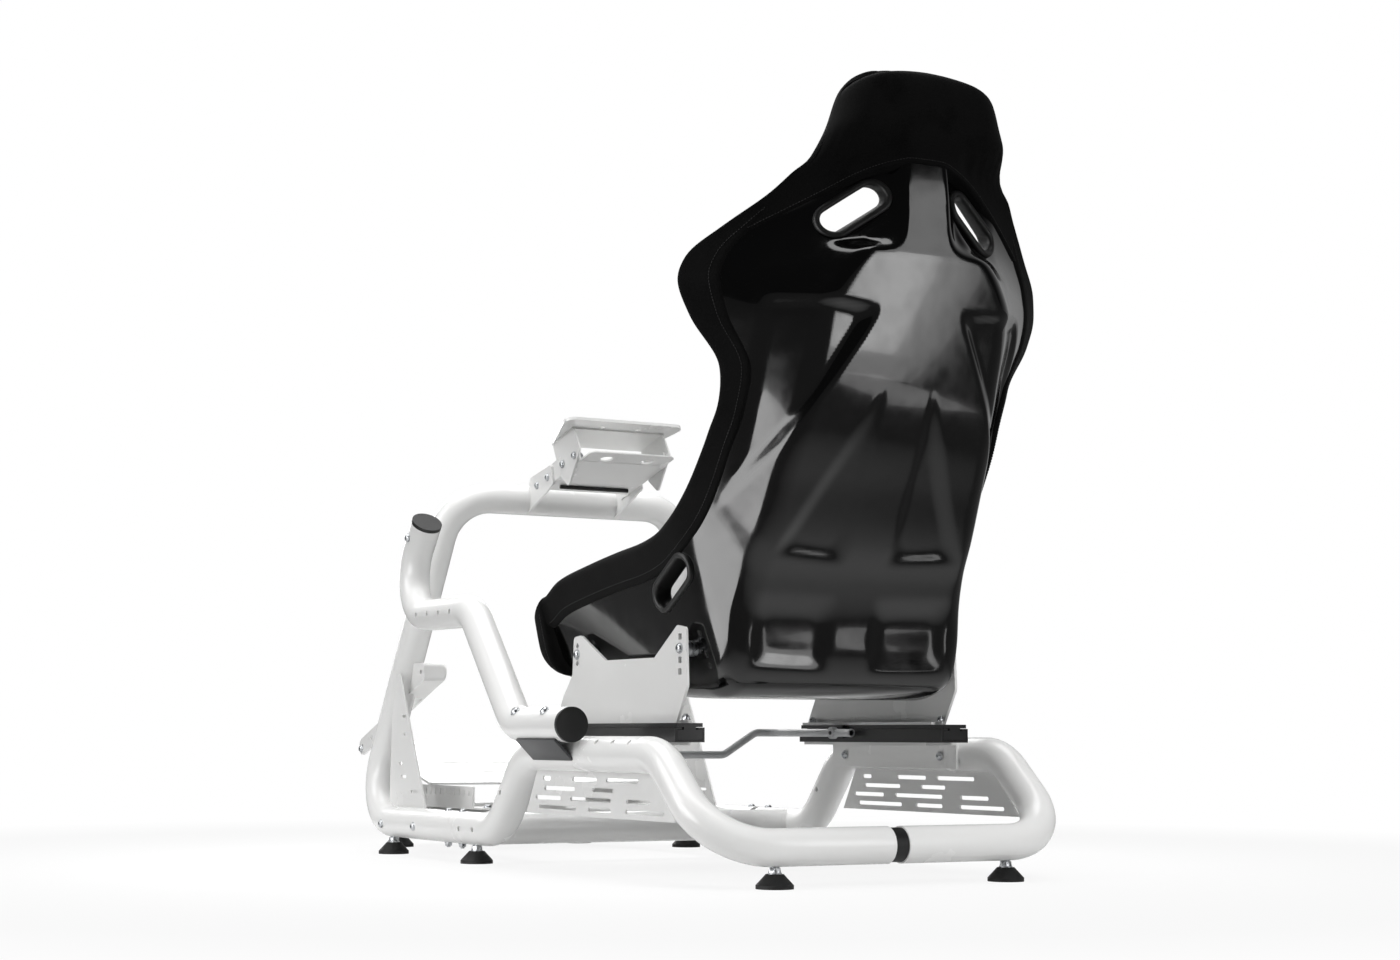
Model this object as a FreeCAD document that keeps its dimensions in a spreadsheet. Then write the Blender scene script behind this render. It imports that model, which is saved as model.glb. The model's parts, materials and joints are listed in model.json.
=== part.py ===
# Sim racing cockpit: a bent-tube frame with a bucket seat on slide rails,
# a tilting wheel deck, a tilted pedal plate and a side arm for a shifter.
# X is the driver's right, Y is forward, Z is up, in millimetres.

import FreeCAD, Part
import math
import os
from FreeCAD import Placement, Rotation, Vector

doc = FreeCAD.newDocument("racing_cockpit")
sheet = doc.addObject("Spreadsheet::Sheet", "Sizes")

# Driving dimensions. Y values are measured forward from the rear cross tube.
SIZES = {
    # frame tubes
    "tube_diameter": 50, "cross_tube_diameter": 48, "pedal_tube_diameter": 45,
    "half_track": 279, "floor_gap": 28, "hump_rise": 118, "frame_bend": 90,
    "hump_foot_y": 646, "hump_front_y": 546, "hump_rear_y": 136,
    "tube_hole": 8, "tube_hole_depth": 8, "leg_hole_z": 112, "hump_hole_angle": 43,
    "rear_sleeve_width": 21, "side_joint_y": 816, "side_sleeve_width": 16, "sleeve_diameter": 46,
    "low_cross_y": 715,
    # front hoop
    "hoop_foot_y": 1190, "hoop_bend": 80, "crossbar_y": 990, "crossbar_z": 595, "crossbar_half": 219,
    # pedal deck
    "pedal_base_half": 176, "pedal_base_front": 1366, "pedal_bend": 58,
    "spacer_diameter": 20, "spacer_rear_y": 930, "spacer_front_y": 1062,
    "pedal_plate_rear": 1085, "pedal_plate_front": 1388, "pedal_front_z": 182, "pedal_thickness": 4,
    "pedal_gap": 0.3,
    "pedal_rail_rear": 940, "pedal_rail_front": 1300, "pedal_flange_rear": 905, "pedal_rail_height": 37,
    "pedal_rail_width": 38, "pedal_corner": 6, "pedal_toe_corner": 20,
    "scale_slot_width": 3, "scale_slot_height": 10, "scale_slot_drop": 15,
    "scale_pitch": 20, "scale_start_y": 955,
    "strut_top_y": 1034, "strut_top_z": 302, "strut_front_y": 1388, "strut_front_z": 176,
    "strut_width": 30, "strut_offset": 213, "strut_hole": 8, "lug_corner": 8, "lug_root_corner": 4,
    # feet
    "rear_foot_x": 185, "middle_foot_y": 733, "front_foot_y": 1072, "pedal_foot_y": 1300,
    "foot_diameter": 50, "foot_lip": 5, "foot_height": 19, "foot_neck": 24, "stud_diameter": 12,
    # sheet metal
    "sheet_thickness": 3, "bracket_thickness": 4,
    "panel_front_low": 552, "panel_rear_low": 92, "panel_front_top": 516, "panel_rear_top": 150,
    "panel_low_z": 83, "panel_tuck": 12, "panel_top_z": 146, "slot_height": 6,
    "fin_top_z": 300, "fin_waist_y": 1006, "fin_rear_y": 940, "fin_slot_height": 5,
    # slide rails
    "rail_centre": 219.5, "rail_rear": 165, "rail_length": 389, "rail_width": 46, "rail_height": 20,
    "rail_wall": 2.5, "rail_lip": 11, "rail_gap": 0.6, "rail_seat_z": 188, "rail_top_z": 214,
    "rail_flange_inset": 3, "rail_neck_play": 2,
    "rail_bracket_rear": 205, "rail_bracket_front": 540, "rail_bracket_drop": 38,
    # release bar
    "bar_diameter": 12, "bar_side": 186, "bar_pivot_y": 440, "bar_front_y": 614, "bar_z": 202,
    "bar_drop": 35, "bar_shoulder": 150, "bar_low_half": 92, "bar_bend": 22,
    "eye_diameter": 18, "eye_width": 9, "pin_diameter": 6, "pin_clearance": 0.1,
    "latch_length": 34, "latch_height": 20,
    # side arm
    "arm_offset": 314, "arm_rear": 340, "arm_z": 212, "arm_rise_y": 517, "arm_shelf_y": 712,
    "arm_shelf_z": 388, "arm_front_y": 1058, "arm_front_offset": 285, "arm_end_y": 940, "arm_end_z": 540,
    "arm_bend": 70, "arm_cap_thickness": 6, "saddle_rear": 362, "saddle_front": 520, "saddle_drop": 48,
    "saddle_rise": 14, "saddle_lap": 8, "saddle_foot": 4, "arm_shelf_rise": 4,
    # wheel deck
    "deck_half": 75, "deck_pivot_y": 939, "deck_pivot_z": 616, "deck_slope": 14.8,
    "cradle_length": 165, "cradle_height": 34, "deck_plate_half": 112, "deck_front_half": 82,
    "deck_plate_depth": 118, "deck_plate_rise": 48, "deck_thickness": 5, "deck_corner": 16,
    "deck_hole": 8.5, "deck_hole_pitch": 66, "deck_hole_edge": 26, "deck_overhang": 32,
    "deck_bolt_hole": 8.5, "deck_flank": 4.2, "deck_wing": 8.1, "deck_ear": 8, "deck_roof": 10.5,
    "deck_roof_depth": 78, "deck_roof_end": 150, "cradle_floor": 5.7, "cradle_drop": 12, "cradle_end": 12,
    "cradle_floor_inset": 26, "ear_corner": 5, "flank_corner": 4, "wing_corner": 6,
    # seat, set out from its lowest and rearmost points
    "seat_back_y": -100, "seat_base_z": 248, "seat_corner": 40, "shell_thickness": 7, "pad_thickness": 26,
    "seat_clearance": 0.4, "recess_depth": 4, "recess_corner": 7, "slot_cut_depth": 160,
    "shoulder_slot_x": 99, "shoulder_slot_rise": 648, "shoulder_slot_length": 88, "shoulder_slot_width": 34,
    "shoulder_slot_angle": 38, "hip_slot_x": 220, "hip_slot_y": 222, "hip_slot_rise": 155,
    "hip_slot_length": 78, "hip_slot_width": 32, "hip_slot_angle": 48,
    "seat_bracket_x": 220.5, "seat_bolt_rear": 185, "seat_bolt_front": 500, "seat_bolt_rise": 68,
    "seat_bracket_rise": 100, "seat_valley_rise": 57, "seat_bolt_hole": 8.5, "seat_square_hole": 9,
    "front_hole_pitch": 13, "rear_hole_pitch": 16, "seat_spacer_diameter": 22,
    "seat_spacer_seat": 2, "seat_flange_rear": 10, "seat_flange_front": 50,
}

for row, (alias, value) in enumerate(SIZES.items(), start=1):
    sheet.set(f"A{row}", alias)
    sheet.set(f"B{row}", str(value))
    sheet.setAlias(f"B{row}", alias)
doc.recompute()


def size(alias):
    """The value of one cell of the sheet."""
    return float(sheet.get(alias))


TUBE_R = size("tube_diameter") / 2
TUBE_Z = size("floor_gap") + TUBE_R
TRACK = size("half_track")
SHEET = size("sheet_thickness")
BRACKET = size("bracket_thickness")
STRUT_END = size("strut_width") / 2
FLANGE_INSET = size("rail_flange_inset")

# The origin is on the floor under the middle of the overall box.
ORIGIN_X = (TRACK - size("arm_offset")) / 2
ORIGIN_Y = (size("seat_back_y") + size("strut_front_y") + STRUT_END) / 2

YZ_PLATE = Rotation(Vector(1, 1, 1), 120)
XZ_PLATE = Rotation(Vector(1, 0, 0), 90)
nodes = []


def at(x, y, z):
    """A point given from the rear cross tube, in the part's own frame."""
    return Vector(x - ORIGIN_X, y - ORIGIN_Y, z)


def node(item):
    """Keep an object as one of the pieces that are written out."""
    nodes.append(item)
    return item


def bent_wire(points, radius):
    """Straight runs joined by tangent arcs of one radius at every inner point."""
    edges = []
    start = points[0]
    for before, corner, after in zip(points, points[1:], points[2:]):
        back = (before - corner).normalize()
        ahead = (after - corner).normalize()
        half = back.getAngle(ahead) / 2
        reach = radius / math.tan(half)
        middle = (back + ahead).normalize()
        nearest = corner + middle * (radius / math.sin(half) - radius)
        edges.append(Part.makeLine(start, corner + back * reach))
        start = corner + ahead * reach
        edges.append(Part.Arc(corner + back * reach, nearest, start).toShape())
    edges.append(Part.makeLine(start, points[-1]))
    return Part.Wire(edges)


def tube(label, points, bend, diameter="tube_diameter"):
    """A round tube swept along straight runs and bends."""
    path = doc.addObject("Part::Feature", label + "_path")
    path.Shape = bent_wire(points, bend)
    ring = doc.addObject("Part::Circle", label + "_ring")
    ring.setExpression("Radius", f"Sizes.{diameter} / 2")
    ring.Placement = Placement(points[0], Rotation(Vector(0, 0, 1), points[1] - points[0]))
    sweep = doc.addObject("Part::Sweep", label)
    sweep.Sections = [ring]
    sweep.Spine = (path, [f"Edge{i + 1}" for i in range(len(path.Shape.Edges))])
    sweep.Solid = True
    return sweep


def rod(label, start, end, diameter):
    """A straight round piece between two points."""
    piece = doc.addObject("Part::Cylinder", label)
    piece.setExpression("Radius", f"Sizes.{diameter} / 2")
    piece.Height = (end - start).Length
    piece.Placement = Placement(start, Rotation(Vector(0, 0, 1), end - start))
    return piece


def drilled(label, piece, places):
    """A tube with blind holes, each given by a point of its centre line and a direction out of it."""
    bits = []
    for i, (centre, out) in enumerate(places):
        bits.append(rod(f"{label}_bit_{i}", centre + out * (TUBE_R - size("tube_hole_depth")),
                        centre + out * (TUBE_R + size("tube_hole_depth")), "tube_hole"))
    return cut(label, piece, gather(label + "_bits", bits))


def cut(label, base, tool):
    """One object less another."""
    piece = doc.addObject("Part::Cut", label)
    piece.Base = base
    piece.Tool = tool
    return piece


def gather(label, pieces):
    """Like pieces that don't touch, kept as one node."""
    group = doc.addObject("Part::Compound", label)
    group.Links = pieces
    return group


def fuse(label, pieces):
    """Pieces that are one sheet or one casting."""
    joined = doc.addObject("Part::MultiFuse", label)
    joined.Shapes = pieces
    joined.Refine = True
    return joined


def rounded(corners):
    """A closed outline of (x, y, radius) corners, as lines and arcs for a sketch."""
    entries = []
    count = len(corners)
    for i, (x, y, radius) in enumerate(corners):
        corner = Vector(x, y, 0)
        before = Vector(*corners[i - 1][:2], 0)
        after = Vector(*corners[(i + 1) % count][:2], 0)
        back = (before - corner).normalize()
        ahead = (after - corner).normalize()
        half = back.getAngle(ahead) / 2
        reach = radius / math.tan(half)
        nearest = corner + (back + ahead).normalize() * (radius / math.sin(half) - radius)
        entries.append((corner + back * reach, nearest, corner + ahead * reach, radius))
    outline = []
    for i, (start, nearest, end, radius) in enumerate(entries):
        if radius > 0:
            outline.append(Part.Arc(start, nearest, end))
        outline.append(Part.LineSegment(end, entries[(i + 1) % count][0]))
    return outline


def slot(x, y, length, width, angle=0):
    """A round-ended slot centred on a point of a sketch."""
    along = Vector(math.cos(math.radians(angle)), math.sin(math.radians(angle)), 0)
    across = Vector(-along.y, along.x, 0)
    centre = Vector(x, y, 0)
    radius = width / 2
    run = (length - width) / 2
    first = centre - along * run
    last = centre + along * run
    return [
        Part.LineSegment(first - across * radius, last - across * radius),
        Part.Arc(last - across * radius, last + along * radius, last + across * radius),
        Part.LineSegment(last + across * radius, first + across * radius),
        Part.Arc(first + across * radius, first - along * radius, first - across * radius),
    ]


def hole(x, y, diameter):
    """A round hole for a sketch."""
    return [Part.Circle(Vector(x, y, 0), Vector(0, 0, 1), diameter / 2)]


def plate(label, outline, openings, thickness, placement):
    """A flat piece padded from a sketch of its outline and openings."""
    body = doc.addObject("PartDesign::Body", label)
    sketch = body.newObject("Sketcher::SketchObject", label + "_outline")
    plane = [f for f in body.Origin.OriginFeatures if f.Role == "XY_Plane"][0]
    sketch.AttachmentSupport = (plane, "")
    sketch.MapMode = "FlatFace"
    for curves in [outline] + openings:
        for curve in curves:
            sketch.addGeometry(curve, False)
    pad = body.newObject("PartDesign::Pad", label + "_pad")
    pad.Profile = sketch
    if isinstance(thickness, str):
        pad.setExpression("Length", f"Sizes.{thickness}")
    else:
        pad.Length = thickness
    body.Placement = placement
    return body


def upright(label, outline, openings, thickness, x_low):
    """A plate that stands along the cockpit: sketch x is Y from the rear tube, sketch y is Z."""
    return plate(label, outline, openings, thickness, Placement(at(x_low, 0, 0), YZ_PLATE))


def profile(label, outline, y_front, length):
    """A section drawn in X and Z, run backwards from y_front."""
    return plate(label, outline, [], length, Placement(at(0, y_front, 0), XZ_PLATE))


def polygon(points, radius=0):
    """Corners that share one radius."""
    return rounded([(x, y, radius) for x, y in points])


SIDES = (("left", -1), ("right", 1))


# Holes in the rear tubes: Y on the lower run, and Y on top of the left hump.
RUN_HOLES = (696, 748)
HUMP_HOLES = (194, 243, 292)


def rear_holes(sign):
    """Where a rear tube is drilled: its lower run, its front leg, and the outside of the left hump."""
    share = (size("leg_hole_z") - TUBE_Z) / size("hump_rise")
    leg_y = size("hump_foot_y") + (size("hump_front_y") - size("hump_foot_y")) * share
    centres = [at(sign * TRACK, y, TUBE_Z) for y in RUN_HOLES]
    centres.append(at(sign * TRACK, leg_y, size("leg_hole_z")))
    places = [(centre, Vector(way, 0, 0)) for centre in centres for way in (-1, 1)]
    if sign < 0:
        angle = math.radians(size("hump_hole_angle"))
        out = Vector(-math.cos(angle), 0, math.sin(angle))
        places += [(at(-TRACK, y, TUBE_Z + size("hump_rise")), out) for y in HUMP_HOLES]
    return places


def rear_frame():
    """Two bent tubes with a hump each, joined at the back, and the tube across the middle."""
    sleeve = size("rear_sleeve_width") / 2
    top_z = TUBE_Z + size("hump_rise")
    tubes = []
    for side, sign in SIDES:
        joint = size("side_joint_y") - (size("side_sleeve_width") / 2 if sign > 0 else 0)
        path = [
            at(sign * TRACK, joint, TUBE_Z),
            at(sign * TRACK, size("hump_foot_y"), TUBE_Z),
            at(sign * TRACK, size("hump_front_y"), top_z),
            at(sign * TRACK, size("hump_rear_y"), top_z),
            at(sign * TRACK, 0, TUBE_Z),
            at(sign * sleeve, 0, TUBE_Z),
        ]
        bent = tube(f"rear_tube_{side}_bend", path, size("frame_bend"))
        node(drilled("rear_tube_" + side, bent, rear_holes(sign)))
        tubes.append(bent)
    node(rod("rear_joint_sleeve", at(-sleeve, 0, TUBE_Z), at(sleeve, 0, TUBE_Z), "sleeve_diameter"))
    half = size("side_sleeve_width") / 2
    node(rod("side_joint_sleeve", at(TRACK, size("side_joint_y") - half, TUBE_Z),
             at(TRACK, size("side_joint_y") + half, TUBE_Z), "sleeve_diameter"))
    y = size("low_cross_y")
    bar = rod("low_cross_bar", at(-TRACK, y, TUBE_Z), at(TRACK, y, TUBE_Z), "cross_tube_diameter")
    coped = cut("low_cross_left_cope", bar, tubes[0])
    node(cut("low_cross_tube", coped, tubes[1]))
    return tubes, bar


def front_hoop():
    """The hoop that carries the wheel deck: lower runs, splayed legs and the crossbar in one tube."""
    half = size("side_sleeve_width") / 2
    path = []
    for sign in (-1, 1):
        joint = size("side_joint_y") + (half if sign > 0 else 0)
        side = [
            at(sign * TRACK, joint, TUBE_Z),
            at(sign * TRACK, size("hoop_foot_y"), TUBE_Z),
            at(sign * size("crossbar_half"), size("crossbar_y"), size("crossbar_z")),
        ]
        path += side if sign < 0 else side[::-1]
    return node(tube("front_hoop", path, size("hoop_bend")))


def pedal_base(low_cross):
    """The U tube in front that carries the pedal plate, and the spacers that hold it to the hoop."""
    half = size("pedal_base_half")
    back = size("low_cross_y")
    front = size("pedal_base_front")
    path = [at(-half, back, TUBE_Z), at(-half, front, TUBE_Z), at(half, front, TUBE_Z), at(half, back, TUBE_Z)]
    bent = tube("pedal_base_bend", path, size("pedal_bend"), "pedal_tube_diameter")
    node(cut("pedal_base_tube", bent, low_cross))
    return bent


def frame_spacers(hoop, base):
    """Short round spacers between the hoop's lower runs and the pedal base."""
    pieces = []
    for side, sign in SIDES:
        for place in ("rear", "front"):
            y = size(f"spacer_{place}_y")
            name = f"spacer_{side}_{place}"
            bar = rod(name + "_bar", at(sign * size("pedal_base_half"), y, TUBE_Z),
                      at(sign * TRACK, y, TUBE_Z), "spacer_diameter")
            pieces.append(cut(name, cut(name + "_cope", bar, hoop), base))
    node(gather("frame_spacers", pieces))


def foot_places():
    """Where the eight feet stand: x, y and the underside that each stud reaches."""
    low = TUBE_Z - TUBE_R
    pedal_low = TUBE_Z - size("pedal_tube_diameter") / 2
    places = []
    for side, sign in SIDES:
        places.append(("rear_" + side, sign * size("rear_foot_x"), 0, low))
        places.append(("middle_" + side, sign * TRACK, size("middle_foot_y"), low))
        places.append(("front_" + side, sign * TRACK, size("front_foot_y"), low))
        places.append(("pedal_" + side, sign * size("pedal_base_half"), size("pedal_foot_y"), pedal_low))
    return places


def feet():
    """Rubber feet with a lip and a cone, each on a threaded stud."""
    pads = []
    studs = []
    for name, x, y, top in foot_places():
        lip = doc.addObject("Part::Cylinder", f"foot_{name}_lip")
        lip.setExpression("Radius", "Sizes.foot_diameter / 2")
        lip.setExpression("Height", "Sizes.foot_lip")
        lip.Placement.Base = at(x, y, 0)
        cone = doc.addObject("Part::Cone", f"foot_{name}_cone")
        cone.setExpression("Radius1", "Sizes.foot_diameter / 2")
        cone.setExpression("Radius2", "Sizes.foot_neck / 2")
        cone.setExpression("Height", "Sizes.foot_height - Sizes.foot_lip")
        cone.Placement.Base = at(x, y, size("foot_lip"))
        pads.append(fuse(f"foot_{name}", [lip, cone]))
        studs.append(rod(f"stud_{name}", at(x, y, size("foot_height")), at(x, y, top), "stud_diameter"))
    node(gather("foot_pads", pads))
    node(gather("foot_studs", studs))


# Slots of the side panels: share of the panel's length and of its height, and slot length.
PANEL_SLOTS = (
    (0.10, 0.82, 26), (0.42, 0.82, 78), (0.72, 0.82, 96),
    (0.22, 0.60, 100), (0.56, 0.60, 64),
    (0.14, 0.38, 84), (0.46, 0.38, 126), (0.80, 0.38, 70),
    (0.22, 0.16, 122), (0.52, 0.16, 70), (0.82, 0.16, 110),
)


def side_panels(tubes):
    """Perforated panels that fill the humps under the seat rails."""
    low = size("panel_low_z")
    top = size("panel_top_z")
    rear_low, rear_top = size("panel_rear_low"), size("panel_rear_top")
    front_low, front_top = size("panel_front_low"), size("panel_front_top")
    tuck = size("panel_tuck")
    share = 1 + tuck / (top - low)
    front_tuck = front_low + (front_top - front_low) * share
    rear_tuck = rear_low + (rear_top - rear_low) * share
    outline = polygon([(rear_low, low), (front_low, low), (front_tuck, top + tuck), (rear_tuck, top + tuck)])
    openings = []
    for along, up, length in PANEL_SLOTS:
        start = rear_low + (rear_top - rear_low) * up
        end = front_low + (front_top - front_low) * up
        openings.append(slot(end + (start - end) * along, low + (top - low) * up, length, size("slot_height")))
    for (side, sign), tube_piece in zip(SIDES, tubes):
        blank = upright(f"side_panel_{side}_blank", outline, openings, "sheet_thickness",
                        sign * TRACK - SHEET / 2)
        node(cut("side_panel_" + side, blank, tube_piece))


def rail_brackets():
    """Angles bolted inside the humps that carry the slide rails."""
    top = size("rail_seat_z")
    wall = TRACK - TUBE_R
    inner = size("rail_centre") - size("rail_width") / 2
    length = size("rail_bracket_front") - size("rail_bracket_rear")
    for side, sign in SIDES:
        corners = [(inner, top - BRACKET), (wall - BRACKET, top - BRACKET),
                   (wall - BRACKET, top - size("rail_bracket_drop")), (wall, top - size("rail_bracket_drop")),
                   (wall, top), (inner, top)]
        outline = polygon([(sign * x, z) for x, z in corners])
        node(profile("rail_bracket_" + side, outline, size("rail_bracket_front"), length))


def slide_rails():
    """Lipped lower channels and the T-shaped upper rails that slide in them."""
    low = size("rail_seat_z")
    height, wall, lip = size("rail_height"), size("rail_wall"), size("rail_lip")
    gap, half = size("rail_gap"), size("rail_width") / 2
    front = size("rail_rear") + size("rail_length")
    mouth = half - lip
    channel = [(half, low), (half, low + height), (mouth, low + height), (mouth, low + height - wall),
               (half - wall, low + height - wall), (half - wall, low + wall)]
    foot = half - wall - gap
    neck = mouth - gap - size("rail_neck_play")
    foot_low, foot_top = low + wall + gap, low + height - wall - gap
    flange_low = low + height + gap
    flange = half - FLANGE_INSET
    tee = [(foot, foot_low), (foot, foot_top), (neck, foot_top), (neck, flange_low), (flange, flange_low),
           (flange, size("rail_top_z"))]
    for side, sign in SIDES:
        middle = sign * size("rail_centre")
        for name, corners in (("lower_rail_", channel), ("upper_rail_", tee)):
            loop = [(middle + x, z) for x, z in corners] + [(middle - x, z) for x, z in corners[::-1]]
            node(profile(name + side, polygon(loop), front, size("rail_length")))


def release_bar():
    """The bar under the front of the seat that frees the rails, and the latches it turns in."""
    side, z = size("bar_side"), size("bar_z")
    low = z - size("bar_drop")
    front, pivot = size("bar_front_y"), size("bar_pivot_y")
    right = [(side, pivot, z), (side, front, z), (size("bar_shoulder"), front, z),
             (size("bar_low_half"), front, low)]
    path = [at(*p) for p in right] + [at(-x, y, p) for x, y, p in right[::-1]]
    bar = tube("release_bar_bend", path, size("bar_bend"), "bar_diameter")
    eyes = []
    pins = []
    latches = []
    flange = size("rail_centre") - size("rail_width") / 2 + FLANGE_INSET
    inner = size("rail_centre") - size("rail_width") / 2 - size("rail_gap")
    tab_low = size("rail_seat_z") + size("rail_height") + size("rail_gap")
    for name, sign in SIDES:
        eye = doc.addObject("Part::Cylinder", f"bar_eye_{name}")
        eye.setExpression("Radius", "Sizes.eye_diameter / 2")
        eye.setExpression("Height", "Sizes.eye_width")
        start = sign * side - size("eye_width") / 2
        eye.Placement = Placement(at(start, pivot, z), Rotation(Vector(0, 0, 1), Vector(1, 0, 0)))
        eyes.append(eye)
        bore = doc.addObject("Part::Cylinder", f"bar_bore_{name}")
        bore.setExpression("Radius", "Sizes.pin_diameter / 2 + Sizes.pin_clearance")
        bore.setExpression("Height", "2 * Sizes.bar_diameter")
        bore.Placement = Placement(at(sign * side - size("bar_diameter"), pivot, z), eye.Placement.Rotation)
        pins.append(bore)
        wall = sign * (side + size("bar_diameter") / 2 + size("rail_gap"))
        latch = doc.addObject("Part::Box", f"latch_block_{name}")
        latch.Length = abs(sign * inner - wall)
        latch.setExpression("Width", "Sizes.latch_length")
        latch.setExpression("Height", "Sizes.latch_height")
        latch.Placement.Base = at(min(sign * inner, wall), pivot - size("latch_length") / 2,
                                  size("rail_top_z") - size("latch_height"))
        pin = rod(f"latch_pin_{name}", at(sign * (side - size("bar_diameter") / 2), pivot, z),
                  at(wall, pivot, z), "pin_diameter")
        tab = doc.addObject("Part::Box", f"latch_tab_{name}")
        tab.Length = abs(sign * flange - wall)
        tab.setExpression("Width", "Sizes.latch_length")
        tab.Height = size("rail_top_z") - tab_low
        tab.Placement.Base = at(min(sign * flange, wall), pivot - size("latch_length") / 2, tab_low)
        latches.append(fuse(f"latch_{name}", [latch, tab, pin]))
    whole = fuse("release_bar_solid", [bar] + eyes)
    node(cut("release_bar", whole, gather("release_bar_bores", pins)))
    node(gather("rail_latches", latches))


# Y of the holes along the arm's level shelf.
SHELF_HOLES = (753, 802, 853, 903)


def side_arm(hump):
    """The bent tube on the driver's left for a shifter, its end caps and its saddle on the hump."""
    x, x_front = -size("arm_offset"), -size("arm_front_offset")
    rear, z = size("arm_rear"), size("arm_z")
    cap = size("arm_cap_thickness")
    path = [
        at(x, rear, z), at(x, size("arm_rise_y"), z),
        at((x + x_front) / 2, size("arm_shelf_y"), size("arm_shelf_z")),
        at(x_front, size("arm_front_y"), size("arm_shelf_z") + size("arm_shelf_rise")),
        at(x_front, size("arm_end_y"), size("arm_end_z")),
    ]
    arm = tube("arm_tube_bend", path, size("arm_bend"))
    shelf = path[3] - path[2]
    holes = [path[2] + shelf * ((y - size("arm_shelf_y")) / shelf.y) for y in SHELF_HOLES]
    node(drilled("arm_tube", arm, [(centre, Vector(-1, 0, 0)) for centre in holes]))
    caps = []
    for name, end, inside in (("rear", path[0], path[1]), ("top", path[-1], path[-2])):
        out = (end - inside).normalize()
        caps.append(rod(f"arm_cap_{name}", end, end + out * cap, "tube_diameter"))
    node(gather("arm_caps", caps))
    top_z = TUBE_Z + size("hump_rise")
    lap = z - size("saddle_lap")
    foot_x, foot_z = -TRACK - TUBE_R, top_z + size("saddle_rise") - size("saddle_drop")
    corners = [(x - TUBE_R * 0.6, lap), (x + TUBE_R, lap), (-TRACK, top_z), (foot_x, foot_z),
               (foot_x - size("saddle_foot"), foot_z)]
    wedge = profile("arm_saddle_wedge", polygon(corners), size("saddle_front"),
                    size("saddle_front") - size("saddle_rear"))
    node(cut("arm_saddle", cut("arm_saddle_cope", wedge, arm), hump))


# Slots of the leg fins: Y, Z and length.
FIN_SLOTS = ((1050, 228, 14), (1045, 198, 10), (1062, 150, 12), (1048, 128, 22), (1000, 104, 30))


def leg_fins(hoop):
    """Gusset plates in the corner between each leg and its lower run, with a concave rear edge."""
    low = TUBE_Z
    top, waist, rear = size("fin_top_z"), size("fin_waist_y"), size("fin_rear_y")
    leg_top = leg_at(top)[1]
    front = size("hoop_foot_y") - size("hoop_bend")
    middle_z = (top + low) / 2
    edge = Part.Arc(Vector(rear, low, 0), Vector(waist, middle_z, 0), Vector(leg_top - TUBE_R, top, 0))
    outline = [edge, Part.LineSegment(Vector(leg_top - TUBE_R, top, 0), Vector(leg_top, top, 0)),
               Part.LineSegment(Vector(leg_top, top, 0), Vector(front, low, 0)),
               Part.LineSegment(Vector(front, low, 0), Vector(rear, low, 0))]
    openings = [slot(y, z, length, size("fin_slot_height")) for y, z, length in FIN_SLOTS]
    for side, sign in SIDES:
        x = (leg_at(middle_z)[0] + TRACK) / 2
        blank = upright(f"leg_fin_{side}_blank", outline, openings, "sheet_thickness", sign * x - SHEET / 2)
        node(cut("leg_fin_" + side, blank, hoop))


def leg_at(z):
    """The x and y of the right leg's centre line at a height."""
    share = (z - TUBE_Z) / (size("crossbar_z") - TUBE_Z)
    x = TRACK + (size("crossbar_half") - TRACK) * share
    y = size("hoop_foot_y") + (size("crossbar_y") - size("hoop_foot_y")) * share
    return x, y


# Slots of the pedal plate: share of its width and depth, and slot length.
PEDAL_SLOTS = (
    (0.16, 0.90, 70), (0.50, 0.90, 110), (0.84, 0.90, 70),
    (0.30, 0.70, 60), (0.70, 0.70, 60),
    (0.22, 0.46, 80), (0.50, 0.46, 70), (0.78, 0.46, 80),
    (0.34, 0.24, 66), (0.66, 0.24, 66), (0.16, 0.10, 60), (0.84, 0.10, 60),
)


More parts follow.
